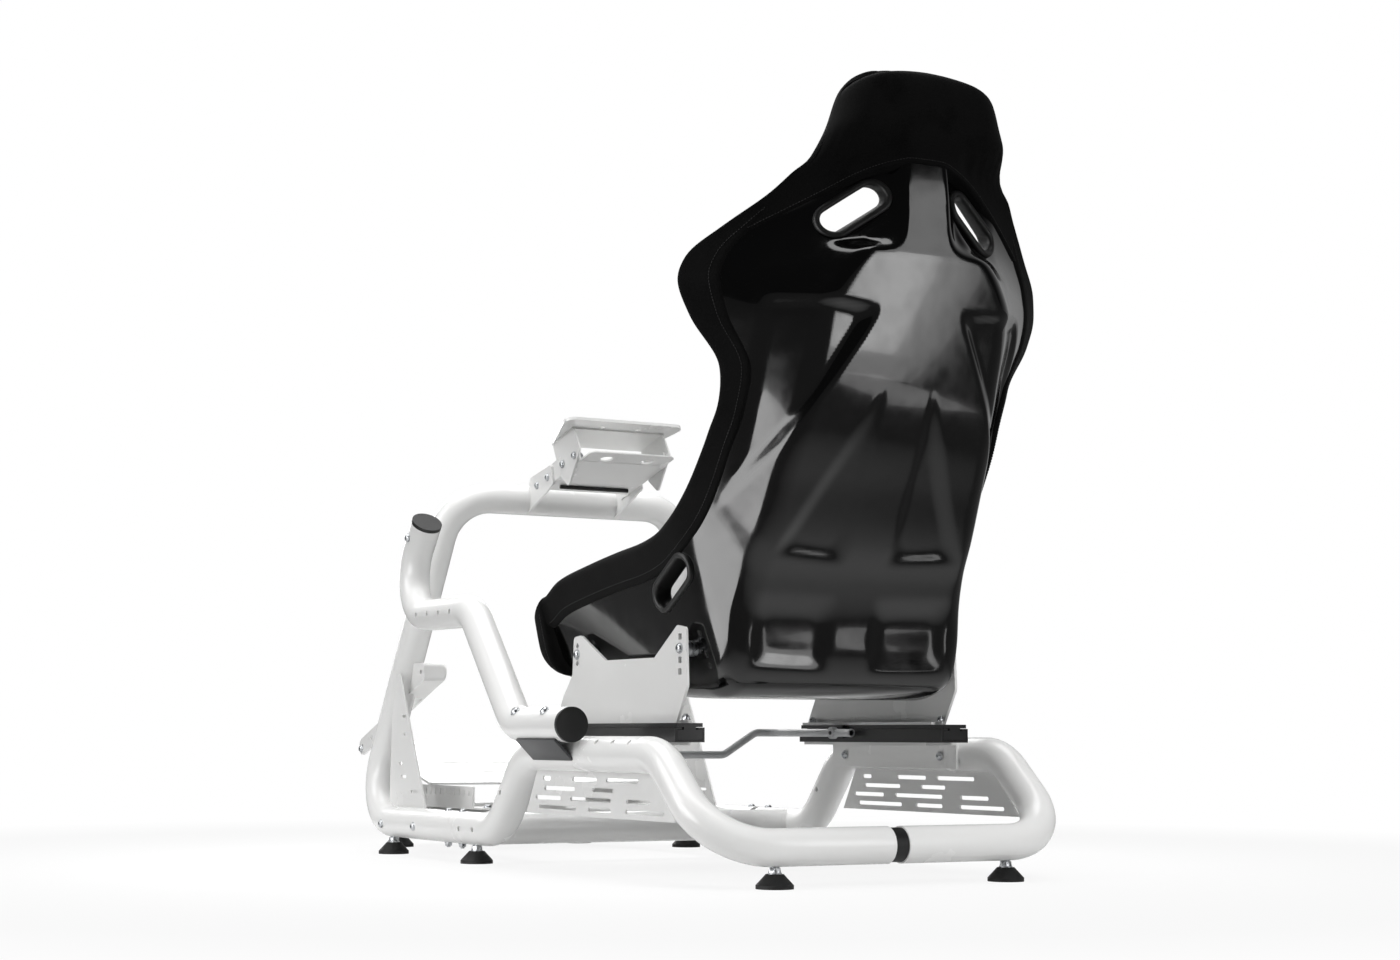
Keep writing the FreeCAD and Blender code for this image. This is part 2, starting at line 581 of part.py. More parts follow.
def pedal_deck(hoop):
    """The slotted pedal plate, the angles it stands on and the struts that set its tilt."""
    half = size("strut_offset") - BRACKET / 2 - size("pedal_gap")
    rear, front = size("pedal_plate_rear"), size("pedal_plate_front")
    rear_z = TUBE_Z + size("pedal_tube_diameter") / 2 + size("pedal_rail_height") + size("pedal_gap")
    rise = size("pedal_front_z") - rear_z
    depth = math.hypot(front - rear, rise)
    tilt = math.degrees(math.atan2(rise, front - rear))
    heel, toe = size("pedal_corner"), size("pedal_toe_corner")
    outline = rounded([(-half, 0, heel), (half, 0, heel), (half, depth, toe), (-half, depth, toe)])
    openings = []
    for across, along, length in PEDAL_SLOTS:
        openings.append(slot(half * (2 * across - 1), depth * along, length, size("slot_height")))
    node(plate("pedal_plate", outline, openings, "pedal_thickness",
               Placement(at(0, rear, rear_z), Rotation(Vector(1, 0, 0), tilt))))
    top = TUBE_Z + size("pedal_tube_diameter") / 2
    length = size("pedal_rail_front") - size("pedal_flange_rear")
    for side, sign in SIDES:
        inner = size("pedal_base_half") - size("pedal_rail_width") / 2
        outer = size("pedal_base_half") + size("pedal_rail_width") / 2
        wall = outer - SHEET
        high = top + size("pedal_rail_height")
        outline = polygon([(sign * inner, top), (sign * outer, top), (sign * outer, high), (sign * wall, high),
                           (sign * wall, top + SHEET), (sign * inner, top + SHEET)])
        angle = profile(f"pedal_rail_{side}_angle", outline, size("pedal_rail_front"), length)
        notch = doc.addObject("Part::Box", f"pedal_rail_{side}_notch")
        notch.Length = 4 * SHEET
        notch.Width = size("pedal_rail_rear") - size("pedal_flange_rear")
        notch.Height = 2 * size("pedal_rail_height")
        notch.Placement.Base = at(sign * (outer - SHEET / 2) - 2 * SHEET, size("pedal_flange_rear"),
                                  top + SHEET)
        tools = [notch] + scale_slots(side, sign * (outer - SHEET / 2), high)
        node(cut("pedal_rail_" + side, angle, gather(f"pedal_rail_{side}_tools", tools)))
        strut(side, sign, hoop)


SCALE_SLOTS = 11


def scale_slots(side, x, top):
    """A row of upright slots in a pedal rail's wall, by which the pedals are set alike on both sides."""
    slots = []
    for i in range(SCALE_SLOTS):
        piece = doc.addObject("Part::Box", f"scale_slot_{side}_{i}")
        piece.Length = 4 * SHEET
        piece.setExpression("Width", "Sizes.scale_slot_width")
        piece.setExpression("Height", "Sizes.scale_slot_height")
        piece.Placement.Base = at(x - 2 * SHEET, size("scale_start_y") + i * size("scale_pitch"),
                                  top - size("scale_slot_drop"))
        slots.append(piece)
    return slots


# Setting holes along a pedal strut, as shares of its length.
STRUT_HOLES = (0, 0.7, 0.76, 0.82, 0.88, 1)


def strut(side, sign, hoop):
    """A flat bar from the leg to the front edge of the pedal plate, with a row of setting holes."""
    start = Vector(size("strut_top_y"), size("strut_top_z"), 0)
    end = Vector(size("strut_front_y"), size("strut_front_z"), 0)
    angle = math.degrees(math.atan2(end.y - start.y, end.x - start.x))
    middle = (start + end) / 2
    outline = slot(middle.x, middle.y, (end - start).Length + size("strut_width"), size("strut_width"), angle)
    openings = []
    for share in STRUT_HOLES:
        point = start + (end - start) * share
        openings.append(hole(point.x, point.y, size("strut_hole")))
    x_low = sign * size("strut_offset") - BRACKET / 2
    node(upright("pedal_strut_" + side, outline, openings, "bracket_thickness", x_low))
    face = size("strut_offset") + BRACKET / 2 + size("pedal_gap")
    leg_x, leg_y = leg_at(start.y)
    free, root = size("lug_corner"), size("lug_root_corner")
    tip_y, root_y, lug_top = start.x - STRUT_END, leg_y + STRUT_END, start.y + STRUT_END
    lug = rounded([(tip_y, lug_top, free), (tip_y, start.y - STRUT_END, free),
                   (root_y, start.y - 3 * STRUT_END, root), (root_y, lug_top, root)])
    depth = leg_x - face
    lug_low = face if sign > 0 else -face - depth
    block = upright(f"strut_lug_{side}", lug, [hole(start.x, start.y, size("strut_hole"))], depth, lug_low)
    node(cut("strut_bracket_" + side, block, hoop))


def deck_point(along, up):
    """Y and Z of a point given along the deck's slope, backwards from its pivot, and square to it."""
    slope = math.radians(size("deck_slope"))
    y = size("deck_pivot_y") - along * math.cos(slope) + up * math.sin(slope)
    z = size("deck_pivot_z") + along * math.sin(slope) + up * math.cos(slope)
    return y, z


def deck_outline(points, radius):
    """Corners given along and square to the deck's slope."""
    return polygon([deck_point(along, up) for along, up in points], radius)


def deck_plane(along, up):
    """A placement whose sketch x is X and sketch y runs forward down the deck's slope."""
    y, z = deck_point(along, up)
    return Placement(at(0, y, z), Rotation(Vector(1, 0, 0), -size("deck_slope")))


# Outlines of the deck's sheet pieces, along its slope backwards from the pivot and square to it.
EAR_OUTLINE = ((-62, -34), (18, -24), (58, -18), (58, 16), (-22, 22))
WING_LOW = ((86, -14), (112, -42), (166, 4))
WING_TOP = (150, 72)
FLANK_FRONT, FLANK_STEP, FLANK_LIP, FLANK_SHOULDER = -14, 18, 14, 4
EAR_BOLTS = (0, 41)
WING_BOLTS = (100, 144)


def wheel_deck(hoop):
    """Ears on the crossbar, the tilting cradle, its bracket and the drilled plate for a wheel base."""
    half, bolt = size("deck_half"), size("deck_bolt_hole")
    rise, end = size("deck_plate_rise"), size("cradle_length") - size("cradle_end")
    drop, top = -size("cradle_drop"), size("cradle_height") / 2
    ear = deck_outline(EAR_OUTLINE, size("ear_corner"))
    ear_holes, wing_holes = ([hole(*deck_point(a, 0), bolt) for a in row] for row in (EAR_BOLTS, WING_BOLTS))
    flank = deck_outline([(FLANK_FRONT, drop), (end, drop), (end, FLANK_LIP),
                          (end - FLANK_STEP, top + FLANK_SHOULDER), (FLANK_FRONT, top)], size("flank_corner"))
    wing = deck_outline(WING_LOW + tuple((along, rise) for along in WING_TOP), size("wing_corner"))
    flanks = []
    wings = []
    for side, sign in SIDES:
        blank = upright(f"deck_ear_{side}_blank", ear, ear_holes, "bracket_thickness",
                        sign * (half + size("deck_ear")) - BRACKET / 2)
        node(cut("deck_ear_" + side, blank, hoop))
        flanks.append(upright(f"cradle_flank_{side}", flank, ear_holes + wing_holes, "sheet_thickness",
                              sign * (half + size("deck_flank")) - SHEET / 2))
        wings.append(upright(f"bracket_wing_{side}", wing, wing_holes, "sheet_thickness",
                             sign * (half + size("deck_wing")) - SHEET / 2))
    span = half + size("cradle_floor")
    deep = size("cradle_length") - size("cradle_floor_inset")
    floor = plate("cradle_floor", polygon([(-span, 0), (span, 0), (span, deep), (-span, deep)]), [],
                  "sheet_thickness", deck_plane(end, drop))
    node(fuse("deck_cradle", flanks + [floor]))
    reach, deep = half + size("deck_roof"), size("deck_roof_depth")
    roof = plate("bracket_roof", polygon([(-reach, 0), (reach, 0), (reach, deep), (-reach, deep)]), [],
                 "sheet_thickness", deck_plane(size("deck_roof_end"), rise - SHEET))
    node(fuse("deck_bracket", wings + [roof]))
    wide, narrow, depth = size("deck_plate_half"), size("deck_front_half"), size("deck_plate_depth")
    corner = size("deck_corner")
    outline = polygon([(-wide, 0), (wide, 0), (narrow, depth), (-narrow, depth)], corner)
    openings = []
    pitch = size("deck_hole_pitch")
    for x in (-pitch / 2, pitch / 2):
        for y in (size("deck_hole_edge"), size("deck_hole_edge") + pitch):
            openings.append(hole(x, y, size("deck_hole")))
    node(plate("deck_plate", outline, openings, "deck_thickness",
               deck_plane(size("deck_roof_end") + size("deck_overhang"), rise)))


# Stations of the seat from the front lip to the shoulders, from its lowest and rearmost points: Y and Z
# of the middle of the back, Y and Z of the rim of the side wing, half width of the back and at the rim,
# and how far down the wall the cloth is folded over the rim.
SHELL_STATIONS = (
    (684, 44, 697, 161, 198, 236, 55), (635, 38, 650, 182, 196, 238, 58), (550, 23, 555, 199, 194, 238, 58),
    (450, 10, 460, 212, 192, 238, 58), (360, 2, 390, 220, 190, 238, 58), (280, 0, 340, 231, 188, 238, 58),
    (225, 14, 305, 248, 187, 238, 58), (208, 52, 285, 261, 184, 238, 58), (198, 107, 265, 277, 179, 238, 58),
    (180, 157, 245, 296, 173, 238, 56), (152, 207, 225, 319, 168, 238, 52), (118, 282, 196, 357, 162, 238, 46),
    (82, 352, 175, 394, 155, 235, 45), (52, 423, 162, 442, 150, 241, 52), (28, 502, 170, 507, 146, 283, 60),
    (13, 566, 173, 556, 116, 300, 65), (9, 592, 165, 582, 92, 294, 65), (8, 640, 130, 625, 52, 252, 50),
    (9, 690, 90, 665, 36, 205, 36), (10, 722, 68, 698, 28, 174, 24),
)
# The front lip and the head are cloth all round, so their stations have next to no fold.
LIP_STATIONS = (
    (724, 66, 728, 126, 216, 232, 4), (716, 46, 722, 142, 222, 238, 4), (692, 40, 704, 158, 222, 240, 4),
)
HEAD_STATIONS = (
    (4, 730, 64, 706, 130, 162, 4), (2, 775, 62, 757, 140, 128, 4), (0, 815, 60, 800, 130, 115, 4),
    (4, 842, 60, 830, 104, 90, 4),
)


def seat_wall(station, offset, reach):
    """The right half of a U section that stands inside the shell's outer face by offset, as points across
    the seat and in from its back: the ends and middle of the corner's arc, then the wall's end at reach."""
    back_half, rim_half = station[4], station[5]
    depth = math.hypot(station[2] - station[0], station[3] - station[1])
    lean = math.atan2(rim_half - back_half, depth)
    across, up = math.sin(lean), math.cos(lean)
    corner_u = back_half - up * offset + (offset - across * offset) / up * across
    radius = size("seat_corner") - offset
    turn = math.pi / 2 - lean
    run = radius * math.tan(turn / 2)
    middle = radius / math.cos(turn / 2) - radius
    end_u = back_half - up * offset + (reach - across * offset) / up * across
    half = turn / 2
    return [(corner_u - run, offset), (corner_u - middle * math.sin(half), offset + middle * math.cos(half)),
            (corner_u + run * across, offset + run * up), (end_u, reach)]


def seat_section(station, start, inner, folded):
    """One closed U section between two offsets. A folded one reaches the rim and turns down outside it."""
    y, z = size("seat_back_y"), size("seat_base_z")
    origin = at(0, y + station[0], z + station[1])
    inward = at(0, y + station[2], z + station[3]) - origin
    depth = inward.Length
    inward.normalize()
    edge = depth - station[6]
    gap = size("seat_clearance")
    outside = seat_wall(station, start, edge + gap if folded else edge)
    inside = seat_wall(station, inner, depth if folded else edge)
    if folded:
        outside += [seat_wall(station, 0, edge + gap)[-1], seat_wall(station, 0, depth)[-1]]

    def place(side, point):
        return origin + Vector(side * point[0], 0, 0) + inward * point[1]

    edges = []
    for path, side in ((outside, -1), (inside, 1)):
        ring = [place(side, q) for q in path[::-1]] + [place(-side, q) for q in path]
        arcs = (len(path) - 3, len(path))
        i = 0
        while i < len(ring) - 1:
            if i in arcs:
                edges.append(Part.Arc(*ring[i:i + 3]).toShape())
                i += 2
            else:
                edges.append(Part.makeLine(ring[i], ring[i + 1]))
                i += 1
        other = inside if side < 0 else outside
        edges.append(Part.makeLine(ring[-1], place(-side, other[-1])))
    return Part.Wire(edges)


def seat_loft(label, sections):
    """A solid lofted through closed sections."""
    rings = []
    for i, section in enumerate(sections):
        ring = doc.addObject("Part::Feature", f"{label}_section_{i}")
        ring.Shape = section
        rings.append(ring)
    loft = doc.addObject("Part::Loft", label)
    loft.Sections = rings
    loft.Solid = True
    loft.Ruled = True
    return loft


def belt_slots():
    """Round-ended prisms that open the four belt slots: two behind the shoulders and two at the hips."""
    cutters = []
    deep = size("slot_cut_depth")
    y, z = size("seat_back_y"), size("seat_base_z")
    for side, sign in SIDES:
        turn = Rotation(Vector(1, 0, 0), -90) * Rotation(Vector(0, 0, 1), sign * size("shoulder_slot_angle"))
        shoulder = at(sign * size("shoulder_slot_x"), y - deep / 4, z + size("shoulder_slot_rise"))
        cutters.append(plate("shoulder_slot_" + side,
                             slot(0, 0, size("shoulder_slot_length"), size("shoulder_slot_width")), [], deep,
                             Placement(shoulder, turn)))
        lean = YZ_PLATE * Rotation(Vector(0, 0, 1), 180 - size("hip_slot_angle"))
        hip = at(sign * size("hip_slot_x") - deep / 2, size("hip_slot_y"), z + size("hip_slot_rise"))
        cutters.append(plate("hip_slot_" + side, slot(0, 0, size("hip_slot_length"), size("hip_slot_width")), [],
                             deep, Placement(hip, lean)))
    return gather("belt_slots", cutters)


# Recesses moulded into the back of the shell, right half: X and Z from the seat's lowest point.
SHELL_RECESSES = (
    ("upper", ((50, 522), (138, 526), (146, 336))),
    ("leg", ((34, 434), (27, 184), (158, 192))),
    ("lower", ((24, 138), (164, 142), (167, 36), (24, 32))),
)


def shell_recesses():
    """Shallow tools that follow the shell's outer face inside each recess's outline."""
    depth = size("recess_depth")
    skin = seat_loft("recess_skin", [seat_section(s, -1, depth, False) for s in SHELL_STATIONS])
    prisms = []
    for name, corners in SHELL_RECESSES:
        for side, sign in SIDES:
            outline = polygon([(sign * x, size("seat_base_z") + z) for x, z in corners], size("recess_corner"))
            prisms.append(profile(f"recess_{name}_{side}", outline, size("hip_slot_y"),
                                  size("hip_slot_y") - size("seat_back_y") + depth))
    tools = doc.addObject("Part::Common", "recess_tools")
    tools.Base = skin
    tools.Tool = gather("recess_prisms", prisms)
    return tools


def seat():
    """The moulded shell and its upholstery, opened for the belts."""
    wall, gap = size("shell_thickness"), size("seat_clearance")
    inner = wall + gap + size("pad_thickness")
    shell = seat_loft("seat_shell_loft", [seat_section(s, 0, wall, False) for s in SHELL_STATIONS])
    cover = seat_loft("seat_cover_loft", [seat_section(s, gap, inner, True) for s in LIP_STATIONS]
                      + [seat_section(s, wall + gap, inner, True) for s in SHELL_STATIONS]
                      + [seat_section(s, gap, inner, True) for s in HEAD_STATIONS])
    slots = belt_slots()
    moulded = node(cut("seat_shell", cut("seat_shell_slotted", shell, slots), shell_recesses()))
    node(cut("seat_upholstery", cover, slots))
    doc.recompute()
    return moulded


# Corners of the seat's side plates: the lines that each is measured from, Y and Z from those, and a radius.
SEAT_PLATE = (
    ("rear", "low", 10, 0, 0), ("front", "low", 70, 0, 0), ("front", "low", 46, 40, 10),
    ("front", "low", 16, 72, 10), ("front", "top", 12, -6, 7), ("front", "top", -12, -4, 7),
    ("front", "valley", -92, 0, 3), ("rear", "valley", 74, 0, 3), ("rear", "top", 8, 0, 7),
    ("rear", "top", -16, -4, 7), ("rear", "low", -20, 50, 10),
)


def seat_brackets():
    """Side plates that bolt to the seat, on a flange that rests on the upper rail."""
    low, base_z = size("rail_top_z"), size("seat_base_z")
    rear, front = size("seat_bolt_rear"), size("seat_bolt_front")
    bolt_z = base_z + size("seat_bolt_rise")
    bolt = size("seat_bolt_hole")
    lines = {"rear": rear, "front": front, "low": low, "top": base_z + size("seat_bracket_rise"),
             "valley": base_z + size("seat_valley_rise")}
    outline = rounded([(lines[along] + y, lines[up] + z, radius) for along, up, y, z, radius in SEAT_PLATE])
    openings = [hole(front, bolt_z + step * size("front_hole_pitch"), bolt) for step in (-1, 0, 1)]
    square = size("seat_square_hole") / 2
    for step in (-2, -1, 0, 1):
        z = bolt_z + step * size("rear_hole_pitch")
        openings.append(polygon([(rear - square, z - square), (rear + square, z - square),
                                 (rear + square, z + square), (rear - square, z + square)], square / 3))
    for side, sign in SIDES:
        inner = size("seat_bracket_x")
        x_low = inner if sign > 0 else -inner - BRACKET
        wall = upright(f"seat_bracket_{side}_wall", outline, openings, "bracket_thickness", x_low)
        flange_in = size("rail_centre") - size("rail_width") / 2 + FLANGE_INSET
        flange = doc.addObject("Part::Box", f"seat_bracket_{side}_flange")
        flange.Length = inner + BRACKET - flange_in
        flange.Width = front + size("seat_flange_front") - rear - size("seat_flange_rear")
        flange.setExpression("Height", "Sizes.bracket_thickness")
        flange_x = flange_in if sign > 0 else -inner - BRACKET
        flange.Placement.Base = at(flange_x, rear + size("seat_flange_rear"), low)
        node(fuse("seat_bracket_" + side, [wall, flange]))


def seat_spacers(shell):
    """Round spacers between the seat's side walls and its side plates, one at each bolt."""
    pieces = []
    bracket = size("seat_bracket_x")
    for side, sign in SIDES:
        for place in ("rear", "front"):
            y, z = size("seat_bolt_" + place), size("seat_base_z") + size("seat_bolt_rise")
            outer = at(sign * bracket, y, z)
            probe = Part.makeLine(at(0, y, z), outer).common(shell.Shape)
            face = min((v.Point for v in probe.Vertexes), key=lambda point: (point - outer).Length)
            inner = face - Vector(sign * size("seat_spacer_seat"), 0, 0)
            name = f"seat_spacer_{side}_{place}"
            pieces.append(cut(name, rod(name + "_bar", inner, outer, "seat_spacer_diameter"), shell))
    node(gather("seat_spacers", pieces))


rear_tubes, low_bar = rear_frame()
hoop = front_hoop()
base = pedal_base(low_bar)
frame_spacers(hoop, base)
feet()
side_panels(rear_tubes)
rail_brackets()
slide_rails()
release_bar()
side_arm(rear_tubes[0])
leg_fins(hoop)
pedal_deck(hoop)
wheel_deck(hoop)
seat_spacers(seat())
seat_brackets()

doc.recompute()
for item in doc.Objects:
    if "Invalid" in item.State or "Error" in item.State:
        raise RuntimeError(f"{item.Name}: {item.State} {item.getStatusString()}")
os.makedirs("parts", exist_ok=True)
for item in nodes:
    shape = item.Shape
    if shape.isNull() or not shape.isValid():
        raise RuntimeError(f"{item.Label}: the shape is not valid")
for item in nodes:
    item.Shape.exportStep(f"parts/{item.Label}.step")
    print(item.Label, len(item.Shape.Solids), round(item.Shape.Volume / 1000, 1))
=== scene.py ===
# %% [markdown]
# # A sim racing cockpit
# A bent steel tube frame carries a bucket seat on two slide rails, a tilting deck for the steering wheel, a pedal
# plate and a side arm for a gear lever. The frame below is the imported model: its rigid pieces keep their shape and
# get finishes here, and the moulded seat, its cloth, the trims and the bolts are made in the cells that follow.

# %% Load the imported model
import json
import math
import bmesh
import bpy
import numpy as np
from mathutils import Matrix, Vector
from mathutils.bvhtree import BVHTree


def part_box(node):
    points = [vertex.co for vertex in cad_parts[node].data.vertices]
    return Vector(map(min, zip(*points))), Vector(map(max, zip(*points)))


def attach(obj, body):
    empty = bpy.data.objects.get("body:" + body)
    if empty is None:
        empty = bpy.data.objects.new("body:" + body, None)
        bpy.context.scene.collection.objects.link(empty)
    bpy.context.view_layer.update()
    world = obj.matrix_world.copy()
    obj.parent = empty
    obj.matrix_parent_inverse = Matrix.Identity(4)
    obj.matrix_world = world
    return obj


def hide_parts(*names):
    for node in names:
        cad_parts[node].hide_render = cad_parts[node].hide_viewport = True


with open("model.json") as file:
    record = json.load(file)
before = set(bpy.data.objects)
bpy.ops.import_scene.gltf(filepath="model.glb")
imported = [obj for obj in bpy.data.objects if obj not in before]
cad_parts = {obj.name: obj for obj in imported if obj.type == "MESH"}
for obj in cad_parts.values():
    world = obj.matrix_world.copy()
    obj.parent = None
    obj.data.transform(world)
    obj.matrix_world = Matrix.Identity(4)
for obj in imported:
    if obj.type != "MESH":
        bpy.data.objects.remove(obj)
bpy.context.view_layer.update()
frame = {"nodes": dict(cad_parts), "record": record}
nodes = frame["nodes"]
MM = 0.001
ORIGIN = np.array((-17.5, 651.5, 0.0))


def spot(x, y, z):
    """A point of the model in metres, from millimetres right of the seat's middle, ahead of the rear tube, up."""
    return Vector((np.array((x, y, z)) - ORIGIN) * MM)


def put(name, data):
    """A new object in the scene."""
    made = bpy.data.objects.new(name, data)
    bpy.context.scene.collection.objects.link(made)
    return made


# %% [markdown]
# ## Camera
# The picture was taken from low down, behind and to the left of the seat, with a long lens. Its place and turn come
# from a fit of known points of the frame to the picture, so the camera is set from those numbers directly, as a
# matrix whose columns are the camera's right, up and backward directions.

# %% Place the camera
PICTURE_WIDTH, FOCAL_PIXELS, SENSOR = 1400, 2356, 36
YAW, PITCH, ROLL = (math.radians(a) for a in (29.35, 6.21, 0.18))
CAMERA_PLACE = Vector((-1.7665, -3.2945, 0.196))
ahead = Vector((math.sin(YAW) * math.cos(PITCH), math.cos(YAW) * math.cos(PITCH), math.sin(PITCH)))
level = Vector((math.cos(YAW), -math.sin(YAW), 0))
upright = level.cross(ahead)
right = math.cos(ROLL) * level + math.sin(ROLL) * upright
up = -math.sin(ROLL) * level + math.cos(ROLL) * upright
turn = Matrix((right, up, -ahead)).transposed().to_4x4()
lens = bpy.data.cameras.new("camera")
lens.lens = FOCAL_PIXELS / PICTURE_WIDTH * SENSOR
lens.sensor_width = SENSOR
lens.clip_end = 200
camera = put("camera", lens)
camera.matrix_world = Matrix.Translation(CAMERA_PLACE) @ turn
bpy.context.scene.camera = camera
print("lens", round(lens.lens, 2), "mm")

# %% [markdown]
# ## Finishes
# Every material starts from a Principled shader and a few procedural textures. Two helpers keep that short: one
# turns a hex colour to the linear values that the shader wants, and one adds a node with its settings and links.
# Sizes of patterns are given in millimetres and turned to a texture scale.


# %% Helpers for materials
def linear(hex_colour):
    """An sRGB hex colour as linear RGBA."""
    parts = [int(hex_colour[i:i + 2], 16) / 255 for i in (1, 3, 5)]
    return tuple(c / 12.92 if c <= 0.04045 else ((c + 0.055) / 1.055) ** 2.4 for c in parts) + (1.0,)


def add(tree, kind, settings=(), inputs=()):
    """Adds a node. A value in inputs that is a socket is linked, and any other is set."""
    made = tree.nodes.new(kind)
    for name, value in dict(settings).items():
        setattr(made, name, value)
    for name, value in dict(inputs).items():
        if isinstance(value, bpy.types.NodeSocket):
            tree.links.new(value, made.inputs[name])
        else:
            made.inputs[name].default_value = value
    return made


def noise(tree, where, size, detail):
    """Smooth noise with a grain of about size millimetres."""
    return add(tree, "ShaderNodeTexNoise", {}, {
        "Vector": where, "Scale": 1 / (size * MM), "Detail": detail}).outputs["Fac"]


def maths(tree, operation, *values):
    """The result of a Math node."""
    return add(tree, "ShaderNodeMath", {"operation": operation}, dict(enumerate(values))).outputs[0]


def finish(name, colour, roughness, **shader):
    """A new material with a Principled shader, its tree and its Object coordinates."""
    material = bpy.data.materials.new(name)
    material.use_nodes = True
    tree = material.node_tree
    surface = tree.nodes["Principled BSDF"]
    surface.inputs["Base Color"].default_value = linear(colour)
    surface.inputs["Roughness"].default_value = roughness
    for socket, value in shader.items():
        surface.inputs[socket.replace("_", " ")].default_value = value
    material.diffuse_color = linear(colour)
    where = add(tree, "ShaderNodeTexCoord").outputs["Object"]
    return material, tree, surface, where


def shade_range(tree, source, low, high, start=0.35, end=0.65):
    """A texture's value stretched from low to high."""
    return add(tree, "ShaderNodeMapRange", {}, {"Value": source, "From Min": start, "From Max": end, "To Min": low,
                                                "To Max": high}).outputs["Result"]


def colours(tree, source, low, high, start=0.35, end=0.65):
    """A colour between two hex colours, by a texture's value."""
    ramp = add(tree, "ShaderNodeValToRGB", {}, {"Fac": source})
    ramp.color_ramp.elements[0].position, ramp.color_ramp.elements[1].position = start, end
    ramp.color_ramp.elements[0].color, ramp.color_ramp.elements[1].color = linear(low), linear(high)
    return ramp.outputs["Color"]


def grain(tree, surface, where, mm, depth_mm, strength=1.0, detail=2.0):
    """A bump of fine noise, as a coating or a moulded surface has."""
    height = noise(tree, where, mm, detail)
    bump = add(tree, "ShaderNodeBump", {}, {"Strength": strength, "Distance": depth_mm * MM, "Height": height})
    tree.links.new(bump.outputs["Normal"], surface.inputs["Normal"])
    return height


# %% [markdown]
# The frame is powder-coated steel. Powder melts into a thick skin with a faint orange-peel ripple a few millimetres
# across, so its highlights are soft and slightly broken. Rails are e-coated black, caps and sleeves are moulded ABS
# with a fine spark-eroded grain, feet are rubber and bolts are zinc-plated.

# %% Hard finishes
def powder_coat(name, colour, darker, roughness):
    """Powder coat: an orange-peel ripple about 3 mm across and a gloss that varies a little."""
    material, tree, surface, where = finish(name, colour, roughness, Coat_Weight=0.15, Coat_Roughness=0.12)
    grain(tree, surface, where, 3.2, 0.04, 0.4)
    cloud = noise(tree, where, 90, 4.0)
    tree.links.new(shade_range(tree, cloud, roughness - 0.03, roughness + 0.03, 0.2, 0.8), surface.inputs["Roughness"])
    tree.links.new(colours(tree, cloud, darker, colour, 0.2, 0.8), surface.inputs["Base Color"])
    return material


def moulded(name, colour, paler, roughness, grain_mm, depth_mm):
    """Moulded plastic or rubber: an even fine grain, and a little paler where it is rubbed."""
    material, tree, surface, where = finish(name, colour, roughness)
    fine = grain(tree, surface, where, grain_mm, depth_mm, 0.6)
    cloud = noise(tree, where, 25, 5.0)
    tree.links.new(colours(tree, cloud, colour, paler), surface.inputs["Base Color"])
    tree.links.new(shade_range(tree, fine, roughness - 0.06, roughness + 0.08), surface.inputs["Roughness"])
    return material


def plated(name, colour, duller, roughness):
    """Zinc plate: a bright metal with cloudy patches and fine drawn scratches."""
    material, tree, surface, where = finish(name, colour, roughness, Metallic=1.0)
    cloud = noise(tree, where, 6, 4.0)
    tree.links.new(colours(tree, cloud, duller, colour), surface.inputs["Base Color"])
    tree.links.new(shade_range(tree, cloud, roughness - 0.08, roughness + 0.12), surface.inputs["Roughness"])
    grain(tree, surface, where, 0.8, 0.02, 0.4)
    return material


FINISH = {
    "frame_white": powder_coat("white_powder_coat", "#F0F0EF", "#EEEEED", 0.26),
    "rail_black": powder_coat("black_e_coat_steel", "#0C0C0D", "#080809", 0.36),
    "saddle_grey": powder_coat("grey_textured_powder_coat", "#3A3B3D", "#333436", 0.5),
    "handle_grey": powder_coat("grey_enamelled_bar", "#C9CBCC", "#BFC1C3", 0.34),
    "foot_rubber": moulded("black_foot_rubber", "#0B0B0B", "#161616", 0.62, 0.9, 0.06),
    "cap_black": moulded("black_grained_abs", "#0A0A0A", "#121212", 0.46, 0.7, 0.05),
    "zinc": plated("zinc_plated_steel", "#CFD1D3", "#A9ACAF", 0.3),
}
print("hard finishes:", ", ".join(FINISH))

# %% [markdown]
# The shell is a gloss black moulding: it is almost a mirror, but the skin over the glass mat is never quite flat, so
# reflections waver over a few centimetres. The cover is a velour with a short nap: it eats light seen square on and
# has a faint pale sheen where it turns away.

# %% Shell and cloth finishes
def gloss_moulding(name, colour):
    """Gel coat over glass mat: mirror gloss, a slow ripple and a trace of dust in the roughness."""
    material, tree, surface, where = finish(name, colour, 0.13, Coat_Weight=0.4, Coat_Roughness=0.04)
    grain(tree, surface, where, 70, 0.9, 0.5)
    dust = noise(tree, where, 30, 6.0)
    tree.links.new(shade_range(tree, dust, 0.09, 0.16), surface.inputs["Roughness"])
    return material


def velour(name, colour, paler):
    """Velour: a nap about 1 mm long, brushed in soft patches, with a pale sheen at grazing angles."""
    material, tree, surface, where = finish(name, colour, 0.95, Specular_IOR_Level=0.15, Sheen_Weight=0.1,
                                            Sheen_Roughness=0.45, Sheen_Tint=linear("#8C8C8C"))
    nap = grain(tree, surface, where, 1.6, 0.5, 0.7, 4.0)
    patch = noise(tree, where, 45, 4.0)
    both = maths(tree, "ADD", nap, patch)
    tree.links.new(colours(tree, both, colour, paler, 0.8, 1.2), surface.inputs["Base Color"])
    return material


FINISH["shell_black"] = gloss_moulding("gloss_black_moulding", "#030303")
FINISH["cloth_black"] = velour("black_velour", "#040404", "#0A0A0A")
print("finishes:", len(FINISH))

# %% Give every rigid piece its finish
for part in frame["record"]["subparts"]:
    piece = nodes[part["node"]]
    piece.data.materials.clear()
    piece.data.materials.append(FINISH[part["material_slot"]])

